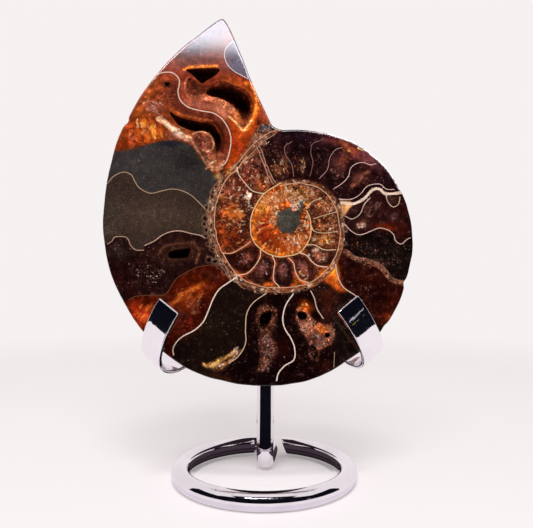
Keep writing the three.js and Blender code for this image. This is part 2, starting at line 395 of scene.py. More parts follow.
def outline():
    a = np.radians([r[0] for r in RIM])
    r = np.array([q[1] for q in RIM])
    p = SPIRAL + np.stack([r * np.cos(a), r * np.sin(a)], 1)
    shell = resample(curve(p[:NOTCH + 1], 8), 0.5)
    mouth = resample(curve(np.vstack([p[NOTCH:], p[:1]]), 8), 0.5)
    return np.vstack([shell[:-1], mouth[:-1]]), len(shell) - 1


# ---- fossil: what the cut face shows, traced as lines (picture points) ---------------
S1 = [(235, 38), (230, 44), (225.6, 49), (224.3, 53.5), (225.6, 60.5), (229, 66.5), (234, 71), (240, 74.5), (249.5, 79.5)]
S2 = [(156, 75), (159, 73.5), (165.5, 72.2), (173, 73), (179, 79), (179, 85.5), (178, 92), (180.7, 100.7), (189.4, 107.7),
      (202.4, 111), (213.2, 113), (222, 119), (228.4, 128.8), (231, 139.7), (229.5, 151.6), (226.3, 161.4), (222, 166)]
GREY = [(115, 151), (125, 149.5), (135, 148), (152, 143.5), (169, 140.6), (187, 143.5), (194.5, 150), (202, 161), (210, 171), (218, 176)]
S4 = [(107.4, 183.7), (114, 176), (123.7, 172), (131.4, 175), (135, 181.7), (140, 188.4), (150.5, 193.2), (162, 190.8),
      (171.5, 189), (181, 190.4), (190.7, 195), (198.3, 201.8), (205, 208.5)]
S5A = [(107.4, 244), (112, 241), (115, 237), (124.7, 236.8), (128.5, 240), (130.4, 245), (136, 250), (143.8, 250)]
S5B = [(144.7, 245.4), (154.3, 241), (162, 235.3), (171.5, 231.5), (181, 231), (190.7, 233.4), (200, 235.3), (205, 238)]
S6 = [(128.6, 300), (135, 296.5), (143.8, 295.5), (154, 295), (165.5, 294.4), (176, 279), (188, 271.6), (198, 267), (212, 265), (223, 266.7)]
S7 = [(237, 277), (227, 283.5), (218.6, 290), (212.6, 300), (208.8, 309.6), (203.4, 321.5), (194.7, 330), (184, 335.6),
      (177.4, 341), (173, 348.6), (173.6, 355)]
S8 = [(266, 293.6), (253.6, 302.3), (246.8, 313.5), (245.5, 330), (245.5, 343.4), (238.7, 355.8), (228.7, 363.3)]
S9 = [(293.4, 293.6), (286, 304.8), (282.8, 317.3), (284.7, 328.4), (291, 338.4), (294.6, 348.3), (294, 359.5),
      (284.7, 365.8), (278.5, 373.2), (276.6, 380.7)]
S10A = [(310.8, 291), (314.5, 298.6), (317, 308.6), (323.2, 318.5)]
S10B = [(334.4, 352), (334.4, 355.8), (333.8, 368.2)]
S11 = [(335.7, 264.6), (338, 277), (343.8, 287.6), (354, 294.5), (362, 301)]
S12 = [(345, 251), (355, 259), (366.7, 261), (379.4, 267), (387.4, 275), (392, 280.7), (403.5, 284)]
S13 = [(345, 224.5), (351.8, 231.4), (359.8, 234.8), (370.2, 231.4), (379.4, 228), (388.5, 230.2), (393.7, 234.8),
       (395.4, 240.5), (401.2, 244), (407, 239.4), (412, 237)]
S14 = [(341.5, 202.7), (353, 203.8), (363.3, 199.2), (372.5, 190), (379.4, 189), (385, 193.5), (394.3, 193.5), (402.3, 192.3)]
S14B = [(345, 216), (352, 219), (360, 214), (364, 205), (370, 198)]
S14C = [(386, 195.5), (388, 202), (393, 207), (398.5, 204), (400, 197)]
S15 = [(339, 199), (350.7, 199.2), (359.8, 194.6), (366.7, 186.6), (373.6, 184.3), (380.5, 184.3), (386.3, 189), (394.3, 189.5)]
S16 = [(333.4, 189), (342.6, 183), (348.4, 176.3), (350.7, 168.2), (356.4, 163.6), (363.3, 162.5), (370.2, 164.8), (376, 163.6)]
S17 = [(319.4, 178.5), (327.4, 169.4), (329.7, 158), (335.5, 149.8), (342.3, 147.6)]
S18 = [(310, 176.3), (313, 162.5), (310.8, 153.3), (312.5, 144), (319.4, 141), (324, 138.4)]
S19 = [(293.6, 176.3), (291.8, 164.8), (285.5, 154.4), (285, 146.4), (291.8, 141.8)]
S20 = [(258.5, 147.6), (262, 156.7), (267.7, 171.7), (274.6, 183)]
WALL2 = [(271, 123), (262, 137), (245, 155), (236.7, 166), (224, 178.5), (216, 196), (212.6, 212), (212.6, 228), (216, 244),
         (223, 258), (234.4, 275), (248, 284), (264, 289), (282.7, 290), (301, 287.6), (315, 283), (330, 269), (339, 253),
         (342.3, 235), (341, 221), (336.6, 205), (327.4, 191), (315, 184.3), (298.7, 181), (280.4, 183)]
WALL3 = [(280.4, 183), (275.8, 186), (264.3, 193.5), (256.3, 204), (251.7, 215), (250.5, 227), (252.2, 238), (257.4, 246), (266.6, 253),
         (278, 256.6), (290.7, 255.5), (301, 251), (308, 241.7), (310.8, 231.4), (310.2, 220), (306.8, 210.7)]
T1 = [(236.7, 167), (239, 175), (246, 184.3), (252.8, 191), (263, 193.5)]
T2 = [(223, 253), (232, 253), (242.5, 247.4), (250.5, 241.7)]
T3 = [(234.4, 275), (246, 273.8), (254, 267), (259.7, 257.8), (260.8, 249.7)]
T4 = [(279, 286.5), (273.5, 279.6), (274, 269), (275, 262.4), (272.3, 256.6)]
T5 = [(308, 282.4), (300, 279.6), (295.3, 271.5), (293.6, 263.5), (288.4, 257.8)]
T6 = [(327.4, 267), (318, 265.8), (311.4, 261), (306.8, 255.5), (300, 253)]
T7 = [(306.8, 245), (314.8, 245), (324, 249.7), (335.5, 249.7)]
T8 = [(311.4, 225.6), (314.8, 231.4), (325, 233), (336.6, 231.4)]
T9 = [(313.7, 218.7), (324, 215.3), (336.6, 211.8)]
T10 = [(306.8, 208.4), (312.5, 201.5), (321.7, 198)]

CREAM, WHITE, TAN, BROWN, PINK = (232, 200, 176), (244, 224, 206), (172, 142, 112), (128, 84, 62), (196, 152, 130)
SEPTA = [  # line, half width, colour
    (S1, 0.62, (226, 206, 206)), (S2, 0.85, (228, 190, 170)), (S4, 0.62, (178, 150, 118)), (S5A, 0.7, (176, 140, 118)),
    (S5B, 0.75, (196, 158, 136)), (S6, 0.5, (104, 64, 42)), (S7, 0.9, (244, 220, 200)), (S8, 0.7, (214, 180, 150)),
    (S9, 0.9, (244, 220, 202)), (S10A, 0.8, (214, 178, 160)), (S10B, 0.5, (176, 140, 120)), (S11, 0.8, (226, 192, 164)),
    (S13, 0.66, (214, 178, 160)), (S14, 2.1, (236, 206, 182)), (S14B, 0.62, (206, 170, 146)), (S14C, 0.62, (206, 170, 146)),
    (S15, 0.56, (214, 180, 164)), (S16, 0.56, (216, 180, 168)), (S17, 0.48, (180, 140, 132)), (S18, 0.46, (132, 96, 92)),
    (S19, 0.46, (150, 112, 98)),
    (T1, 0.75, (226, 190, 160)), (T2, 0.65, (226, 180, 142)), (T3, 0.72, (232, 192, 160)), (T4, 0.72, (234, 194, 166)),
    (T5, 0.7, (230, 192, 162)), (T6, 0.78, (234, 198, 170)), (T7, 0.7, (220, 186, 140)), (T8, 0.6, (206, 172, 128)),
    (T9, 0.6, (206, 172, 128)), (T10, 0.6, (212, 178, 140)),
]


def offset(line, d, wave=0.0, seed=1):
    p = curve(line, 4)
    t = np.gradient(p, axis=0)
    t /= np.maximum(np.hypot(t[:, 0], t[:, 1]), 1e-9)[:, None]
    if wave:
        d = d + wave * 2 * (fbm(p, 0.16, seed, 3) - 0.5)[:, None]
    return p + d * np.stack([-t[:, 1], t[:, 0]], 1)


WALL_LINES = [  # line, half width, colour
    (offset(WALL2[2:], -2.2, 1.1, 5), 0.7, (214, 164, 126)), (offset(WALL2[3:21], 2.2, 2.4, 6), 0.5, (158, 112, 86)),
    (offset(WALL2[4:12], 5.2, 3.4, 7), 0.5, (150, 108, 84)), (offset(WALL3, 0.0, 0.7, 8), 0.9, (232, 184, 130)),
    (offset(S20, 1.4, 1.4, 9), 0.5, (196, 150, 126)), (offset(S20, -1.4, 1.4, 10), 0.5, (186, 140, 118)),
    ([(278, 129.6), (268, 133.4), (258, 140), (248, 150), (240, 160), (231, 170)], 0.6, (206, 160, 128)),
    ([(275, 134.4), (264, 141), (254, 151), (244, 162)], 0.5, (186, 140, 110)),
]
SEPTA = SEPTA + WALL_LINES


# hollows lined with crystals: outline, depth in mm, width of the wall in picture points
VUGS = [
    ([(185.6, 69.6), (193, 68.6), (204, 68), (217.4, 68), (219.6, 71), (214, 76.5), (207, 81), (201.8, 84), (197, 80), (191, 74)], 6.4, 3.2),
    ([(188, 78), (195, 81), (203, 86), (214, 83.5), (221, 80.5), (232.5, 84.5), (244.8, 89.6), (251.6, 98.6), (253.2, 108.2),
      (250.6, 119), (246, 127.2), (242.5, 128.4), (236, 121), (228, 112), (218, 105), (208, 101.5), (197, 101), (189.5, 97.5),
      (186, 89)], 1.9, 9.0),
    ([(209, 88), (217.8, 84.8), (232.5, 86.5), (243.5, 91.2), (249.6, 99.2), (251, 108.2), (248.6, 117.5), (245, 123.5), (241.8, 121),
      (237.4, 112.3), (229, 103.5), (219, 98.2), (211, 96.5), (206, 93)], 6.4, 4.6),
    ([(168.7, 111.4), (178.5, 116.5), (189.5, 119.5), (200.6, 121.6), (210.4, 122.4), (217.8, 130.3), (221.8, 140.1), (220.6, 149),
      (216.3, 152.6), (214.4, 143.8), (210.8, 135.2), (203, 131.5), (195.7, 131.8), (187, 129.6), (177.5, 124.4)], 7.0, 3.6),
    ([(170, 251.4), (179, 249), (190.2, 248.4), (189.4, 253), (187.4, 257.6), (178, 258.6), (169.6, 258.4), (168.2, 255)], 5.0, 2.6),
    ([(260, 316), (264.5, 311.6), (270.6, 310.8), (272, 315.5), (270.4, 322), (266, 328), (262.4, 329.6), (259.6, 324)], 5.0, 2.6),
    ([(297.4, 312.4), (302, 310.8), (307, 314), (306.6, 319), (302, 321), (298, 318)], 3.6, 2.4),
    ([(324.8, 332.8), (329, 332.4), (330.6, 335.6), (328.4, 338.4), (325, 337.6)], 2.4, 1.6),
    ([(164.4, 83.8), (167, 82), (169.8, 82.8), (170.2, 85.2), (168, 87), (165, 86.4)], 1.2, 2.4),
    ([(311.6, 344), (318, 350), (317, 361), (311.4, 357.4), (309.4, 350)], 1.6, 2.4),
]


GOLD = [(252, 222, 188), (234, 180, 128), (206, 138, 84), (168, 98, 54)]
FIRE = [(252, 194, 120), (230, 140, 66), (198, 94, 36), (154, 64, 24)]
GLASS = [(246, 220, 196), (216, 166, 136), (174, 118, 92)]
MAUVE = [(186, 148, 142), (148, 110, 104), (118, 82, 76)]
DIM = [(146, 98, 90), (114, 74, 67), (90, 56, 50)]
SOOT = [(24, 10, 7), (38, 17, 11), (52, 25, 15)]
RUST = [(150, 74, 38), (122, 56, 28), (96, 42, 22)]
HEART = (287.5, 221.0)

# crystals strewn over a patch: x, y, rx, ry, count, longest, half width, direction (None: any, "r": out from the middle), spread, colours
STREWN = [
    # second whorl, left
    (232, 192, 13, 12, 20, 5.0, 0.62, None, 180, GOLD), (232, 192, 13, 12, 26, 6.0, 0.8, None, 180, SOOT),
    (230, 214, 12, 11, 28, 7.0, 0.8, "r", 50, FIRE), (230, 216, 12, 11, 26, 6.0, 0.8, "r", 60, SOOT),
    (238, 222, 9, 12, 12, 6.0, 0.66, "r", 45, GOLD), (222, 232, 7, 13, 20, 5.0, 0.66, "r", 50, RUST),
    (236, 238, 11, 9, 12, 5.0, 0.7, "r", 60, FIRE), (234, 240, 12, 9, 18, 5.0, 0.8, "r", 60, SOOT),
    (246, 202, 6, 9, 16, 4.0, 0.62, None, 180, GLASS), (246, 204, 6, 10, 14, 4.0, 0.8, None, 180, SOOT),
    # second whorl, top left chamber
    (247, 178, 12, 13, 28, 4.0, 0.62, None, 180, GLASS), (247, 178, 13, 13, 34, 5.0, 0.8, None, 180, SOOT), (262, 182, 8, 8, 18, 4.0, 0.62, None, 180, GOLD),
    # lower chambers
    (242, 260, 7, 6, 16, 2.4, 0.55, None, 180, MAUVE), (264, 269, 5, 8, 18, 2.4, 0.55, None, 180, MAUVE),
    (283, 271, 5, 8, 18, 2.4, 0.55, None, 180, MAUVE), (302, 267, 5, 8, 22, 2.8, 0.55, None, 180, MAUVE),
    (303, 275, 6, 5, 14, 3.0, 0.6, None, 180, GOLD), (318, 256, 10, 6, 26, 3.4, 0.6, None, 180, GLASS), (318, 258, 11, 6, 16, 4.0, 0.8, None, 180, SOOT),
    (241, 264, 9, 8, 8, 4.0, 0.8, None, 180, SOOT), (266, 272, 8, 10, 8, 4.0, 0.8, None, 180, SOOT), (285, 273, 7, 10, 8, 4.0, 0.8, None, 180, SOOT),
    # right chambers
    (324, 224, 12, 9, 30, 4.6, 0.7, None, 180, GOLD), (324, 224, 12, 9, 30, 5.0, 0.85, None, 180, SOOT),
    (324, 240, 12, 7, 28, 4.6, 0.7, None, 180, GOLD), (324, 240, 12, 7, 22, 5.0, 0.85, None, 180, SOOT),
    (322, 206, 11, 8, 32, 4.2, 0.62, None, 180, GOLD), (322, 206, 11, 8, 26, 5.0, 0.85, None, 180, SOOT),
    (308, 194, 9, 7, 24, 4.0, 0.62, None, 180, GOLD), (308, 194, 9, 7, 18, 5.0, 0.85, None, 180, SOOT), (333, 222, 5, 16, 18, 3.0, 0.55, None, 180, GLASS),
    # chambers above
    (280, 168, 9, 9, 34, 3.4, 0.42, 62, 22, GOLD), (280, 168, 10, 9, 20, 5.0, 0.8, 62, 22, SOOT), (272, 152, 8, 8, 10, 2.0, 0.5, None, 180, DIM),
    (303, 166, 2.2, 8, 16, 3.0, 0.42, 80, 24, GOLD), (296, 164, 4, 9, 12, 3.0, 0.55, 80, 30, RUST), (318, 162, 4, 9, 10, 2.4, 0.5, None, 180, DIM),
    (338, 172, 8, 8, 28, 3.0, 0.55, None, 180, DIM), (338, 172, 8, 8, 14, 4.0, 0.8, None, 180, SOOT), (344, 158, 8, 6, 14, 3.0, 0.6, None, 180, RUST),
    (362, 178, 8, 6, 14, 3.0, 0.55, -40, 30, DIM), (300, 146, 22, 8, 16, 1.6, 0.45, None, 180, DIM), (352, 150, 12, 5, 12, 5.0, 0.7, 30, 15, FIRE),
    # amber middle
    (272, 199, 11, 7, 60, 4.0, 0.62, "r", 50, GOLD), (272, 199, 11, 7, 34, 4.0, 0.75, "r", 50, RUST), (288, 195, 12, 7, 52, 4.0, 0.62, "r", 60, GOLD),
    (288, 195, 12, 7, 40, 4.0, 0.8, "r", 60, SOOT), (260, 214, 7, 13, 26, 7.0, 0.66, "r", 14, FIRE), (260, 218, 7, 13, 16, 7.0, 0.75, "r", 14, RUST),
    (262, 234, 8, 10, 20, 8.0, 0.62, "r", 10, FIRE), (262, 234, 8, 10, 24, 8.0, 0.75, "r", 10, [(120, 40, 8), (150, 56, 12)]),
    (276, 246, 13, 7, 34, 8.0, 0.6, "r", 10, FIRE), (276, 246, 13, 7, 34, 8.0, 0.75, "r", 10, [(110, 36, 8), (140, 52, 12)]),
    (294, 246, 9, 7, 30, 6.0, 0.6, "r", 16, GOLD), (294, 246, 9, 7, 24, 6.0, 0.8, "r", 16, RUST),
    (303, 232, 5, 9, 28, 4.0, 0.62, "r", 40, GOLD), (303, 232, 5, 9, 20, 4.0, 0.8, "r", 40, SOOT),
    (273, 217, 4, 10, 30, 3.6, 0.62, "r", 60, GOLD), (273, 219, 4, 11, 16, 3.6, 0.75, "r", 60, RUST), (288, 238, 11, 4, 26, 3.4, 0.62, "r", 60, GOLD),
    (288, 238, 11, 4, 18, 3.6, 0.8, "r", 60, RUST), (296, 206, 6, 4, 20, 3.0, 0.62, None, 180, GLASS),
    (296, 201, 9, 6, 46, 2.4, 0.5, None, 180, [(255, 238, 210), (250, 218, 176)]), (275, 212, 5, 8, 26, 2.4, 0.5, None, 180, [(255, 232, 196), (246, 206, 156)]),
    (296, 240, 9, 5, 26, 2.6, 0.5, "r", 40, [(255, 232, 196), (246, 206, 156)]), (306, 222, 3, 9, 22, 2.4, 0.5, None, 180, [(255, 234, 200), (240, 200, 150)]),
    # orange crystals of the second chamber
    (146, 127, 10, 9, 40, 8.0, 0.85, 82, 16, FIRE), (146, 130, 12, 10, 26, 7.0, 0.85, 82, 18, [(110, 44, 16), (140, 60, 20), (90, 36, 16)]),
    (156, 132, 8, 6, 14, 6.0, 0.8, 75, 18, FIRE), (140, 100, 10, 12, 18, 6.0, 0.8, -55, 20, [(190, 100, 46), (170, 84, 38)]),
    (156, 106, 8, 5, 20, 5.0, 0.5, 36, 10, [(206, 156, 134), (170, 116, 100)]), (157, 107, 8, 6, 14, 5.0, 0.7, 36, 14, [(84, 52, 48), (100, 64, 56)]),
    (170, 96, 8, 9, 30, 2.6, 0.6, None, 180, RUST), (170, 97, 8, 9, 26, 3.0, 0.7, None, 180, SOOT), (176, 126, 10, 4, 14, 4.0, 0.6, 30, 16, GLASS),
    (203, 143, 8, 8, 20, 3.0, 0.5, None, 180, [(196, 142, 116), (160, 104, 84)]), (203, 148, 9, 11, 26, 4.0, 0.75, None, 180, [(74, 38, 26), (92, 48, 32)]),
    (212, 164, 7, 7, 22, 4.0, 0.6, -40, 30, GOLD), (212, 166, 7, 6, 12, 4.0, 0.7, -40, 30, RUST),
    # where the whorls part
    (260, 140, 9, 6, 30, 5.0, 0.5, -42, 12, [(222, 176, 150), (190, 140, 112)]), (252, 150, 9, 7, 30, 5.0, 0.7, -42, 14, RUST), (246, 156, 8, 7, 20, 5.0, 0.55, -48, 14, GOLD),
    # crusts
    (150, 274, 18, 10, 44, 1.3, 0.36, None, 180, GLASS), (154, 276, 16, 9, 22, 3.0, 0.7, None, 180, SOOT), (140, 268, 14, 10, 14, 1.6, 0.45, None, 180, DIM),
    (268, 348, 7, 14, 60, 2.6, 0.55, None, 180, MAUVE), (268, 348, 8, 14, 44, 3.0, 0.7, None, 180, SOOT), (266, 366, 5, 6, 20, 2.4, 0.55, None, 180, MAUVE),
    (273, 316, 4, 9, 16, 2.6, 0.55, None, 180, RUST), (259, 312, 4, 8, 14, 2.6, 0.55, None, 180, RUST),
    (306, 326, 7, 7, 34, 3.0, 0.6, None, 180, [(214, 166, 138), (186, 132, 106), (150, 96, 70)]), (316, 340, 9, 8, 44, 3.0, 0.6, None, 180, MAUVE),
    (314, 338, 10, 10, 40, 3.4, 0.75, None, 180, SOOT), (313, 353, 4, 7, 18, 2.6, 0.55, None, 180, MAUVE), (304, 308, 6, 5, 12, 4.0, 0.7, 30, 20, FIRE),
    (322, 329, 6, 4, 12, 3.6, 0.7, 30, 20, FIRE), (331, 330, 3, 7, 14, 3.0, 0.6, None, 180, [(206, 150, 120), (170, 116, 90)]),
    (217, 364, 9, 3, 24, 6.0, 0.6, -26, 12, GOLD), (224, 366, 12, 5, 26, 6.0, 0.75, -28, 14, [(40, 22, 12), (60, 34, 18)]), (236, 352, 5, 5, 18, 3.4, 0.55, -40, 20, GLASS),
    (212, 345, 22, 18, 18, 1.4, 0.42, None, 180, [(120, 108, 90), (98, 86, 70)]), (228, 318, 18, 18, 14, 1.2, 0.42, None, 180, [(104, 92, 74)]),
    # right side
    (376, 264, 16, 5, 30, 2.6, 0.5, 22, 30, [(166, 112, 92), (132, 84, 68), (104, 62, 50)]), (376, 264, 16, 5, 26, 3.0, 0.7, 22, 40, SOOT), (372, 248, 14, 8, 60, 1.2, 0.36, None, 180, DIM),
    (396, 258, 9, 11, 60, 1.1, 0.34, None, 180, [(168, 126, 114), (124, 88, 78), (96, 64, 56)]), (352, 244, 6, 6, 14, 2.2, 0.5, None, 180, RUST), (368, 211, 7, 6, 26, 2.6, 0.55, None, 180, DIM),
    (368, 211, 8, 7, 16, 3.0, 0.7, None, 180, SOOT), (361, 225, 4, 3, 14, 3.0, 0.6, -30, 20, GLASS), (377, 205, 6, 5, 16, 2.4, 0.55, None, 180, DIM),
    (392, 240, 8, 6, 10, 1.6, 0.45, None, 180, DIM), (368, 276, 14, 6, 10, 2.0, 0.6, None, 180, [(70, 34, 28), (56, 22, 16)]),
    # orange chamber
    (146, 314, 10, 12, 18, 7.0, 0.9, -50, 14, [(214, 100, 40), (230, 126, 60)]), (188, 296, 15, 8, 30, 6.0, 0.7, -32, 12, [(206, 116, 56), (176, 86, 40)]),
    (186, 302, 16, 10, 30, 6.0, 0.85, -32, 14, [(92, 32, 12), (110, 42, 16)]), (195, 306, 8, 8, 24, 3.0, 0.6, None, 180, [(176, 116, 84), (150, 92, 64)]),
    # grey filling
    (138, 157, 6, 6, 8, 4.0, 0.4, 60, 14, [(118, 108, 102)]), (170, 165, 22, 10, 16, 1.2, 0.4, None, 180, [(92, 86, 82)]), (186, 184, 12, 8, 10, 1.2, 0.4, None, 180, [(104, 90, 80)]),
    (150, 210, 38, 16, 60, 1.0, 0.4, None, 180, [(112, 98, 84), (128, 100, 78)]), (120, 240, 8, 8, 10, 1.0, 0.4, None, 180, [(104, 92, 80)]),
]
# dark bubbles with pale skins beside the wall: x, y, radius
BUBBLES = [
    (209.8, 201.5, 1.5), (206.7, 207.6, 1.3), (205.5, 217.9, 1.8), (204.2, 224.2, 1.1), (206.9, 230.2, 1.7), (210.8, 234.0, 1.5), (205.4, 236.4, 1.2),
    (212.9, 248.6, 1.6), (208.8, 244.0, 1.0), (209.6, 259.6, 1.9), (215.0, 261.4, 1.5), (219.4, 266.2, 1.3), (208.4, 212.8, 0.9), (210.6, 225.0, 0.9),
    (212.4, 191.8, 1.0), (215.6, 186.4, 0.9), (225.0, 271.4, 1.2), (231.4, 277.6, 1.0), (258.0, 290.4, 1.8), (264.4, 291.6, 1.3), (250.6, 287.6, 1.1),
    (284.0, 291.6, 1.0), (296.6, 290.0, 1.2), (305.4, 288.0, 1.0), (240.6, 281.8, 1.3), (343.8, 243.6, 1.0), (344.6, 229.4, 0.9), (221.4, 262.6, 0.9),
]


class Canvas:
    """Fields over the points of the cut face, in picture points."""

    def __init__(self, p):
        self.p = p
        self.col = np.tile(np.array([40.0, 20.0, 14.0]), (len(p), 1))
        self.f = {k: np.zeros(len(p)) for k in ("cry", "spk", "vug", "mot", "fib")}
        self.f["mot"][:] = 0.5
        self.wob = np.stack([fbm(p, 0.11, 3) - 0.5, fbm(p, 0.11, 4) - 0.5], 1) * 2.0

    def near(self, pts, margin):
        pts = np.asarray(pts, float)
        lo, hi = pts.min(0) - margin, pts.max(0) + margin
        return np.nonzero(((self.p > lo) & (self.p < hi)).all(1))[0]

    def lay(self, idx, m, rgb=None, **fields):
        if rgb is not None:
            self.col[idx] += (np.asarray(rgb, float) - self.col[idx]) * m[:, None]
        for k, v in fields.items():
            self.f[k][idx] += (v - self.f[k][idx]) * m

    def fill(self, poly, rgb=None, soft=0.9, amt=1.0, wob=0.0, **fields):
        poly = np.asarray(poly, float)
        idx = self.near(poly, soft + 3 + wob * 2)
        q = self.p[idx] + wob * self.wob[idx]
        self.lay(idx, amt * smooth(0.5 - signed(q, poly) / (2 * soft)), rgb, **fields)

    def blob(self, x, y, rx, ry, rgb=None, amt=1.0, ang=0.0, wob=2.0, hard=1.0, **fields):
        reach = 2.6 * max(rx, ry)
        idx = self.near([(x - reach, y - reach), (x + reach, y + reach)], wob * 2)
        q = self.p[idx] + wob * self.wob[idx] - (x, y)
        c, s = math.cos(math.radians(ang)), math.sin(math.radians(ang))
        d = ((q[:, 0] * c + q[:, 1] * s) / rx) ** 2 + ((q[:, 1] * c - q[:, 0] * s) / ry) ** 2
        self.lay(idx, amt * np.exp(-d ** hard), rgb, **fields)

    def stroke(self, pts, half, rgb=None, amt=1.0, soft=0.6, wob=0.0, steps=4, **fields):
        line = curve(pts, steps)
        idx = self.near(line, half + soft + 2 + wob * 2)
        q = self.p[idx] + wob * self.wob[idx]
        self.lay(idx, amt * smooth(0.5 - (line_distance(q, line) - half) / (2 * soft)), rgb, **fields)


def strew():
    """Little strokes for the crystals: points, half width, colour, strength."""
    rs = np.random.RandomState(20)
    out = []
    for x, y, rx, ry, count, longest, half, way, spread, colours in STREWN:
        for _ in range(count):
            r, t = math.sqrt(rs.rand()), 2 * math.pi * rs.rand()
            cx, cy = x + rx * r * math.cos(t), y + ry * r * math.sin(t)
            if way is None:
                a = math.pi * rs.rand()
            else:
                a = math.atan2(cy - HEART[1], cx - HEART[0]) if way == "r" else math.radians(way)
                a += math.radians(spread) * (2 * rs.rand() - 1)
            ln = longest * (0.25 + 0.75 * rs.rand() ** 1.5)
            bend = 0.16 * ln * (2 * rs.rand() - 1)
            dx, dy = math.cos(a) * ln / 2, math.sin(a) * ln / 2
            pts = np.array([(cx - dx, cy - dy), (cx - dy * bend / max(ln, 0.1) * 2, cy + dx * bend / max(ln, 0.1) * 2), (cx + dx, cy + dy)])
            out.append((pts, half * (0.65 + 0.6 * rs.rand()), colours[int(rs.rand() * len(colours))], (0.14 + 0.50 * rs.rand() ** 1.4) if rs.rand() > 0.09 else 0.85))
    for line in (WALL2, offset(WALL2[3:14], 3.0)):
        w = resample(curve(line, 4), 1.3)
        t = np.gradient(w, axis=0)
        t /= np.hypot(t[:, 0], t[:, 1])[:, None]
        for q, d in zip(w, t):
            side = 5.0 * (rs.rand() - 0.5)
            a = math.atan2(d[1], d[0]) + 0.9 * (rs.rand() - 0.5)
            ln = 0.8 + 3.0 * rs.rand() ** 2
            cx, cy = q[0] - d[1] * side, q[1] + d[0] * side
            dx, dy = math.cos(a) * ln / 2, math.sin(a) * ln / 2
            rgb = (GLASS + GOLD[:3] + SOOT + SOOT + RUST)[int(rs.rand() * 15)]
            out.append((np.array([(cx - dx, cy - dy), (cx, cy), (cx + dx, cy + dy)]), 0.45 + 0.4 * rs.rand(), rgb, 0.2 + 0.5 * rs.rand()))
    return out


def chain(*parts):
    return np.vstack([np.asarray(q, float) for q in parts])


def cv(line):
    return curve(line, 3)


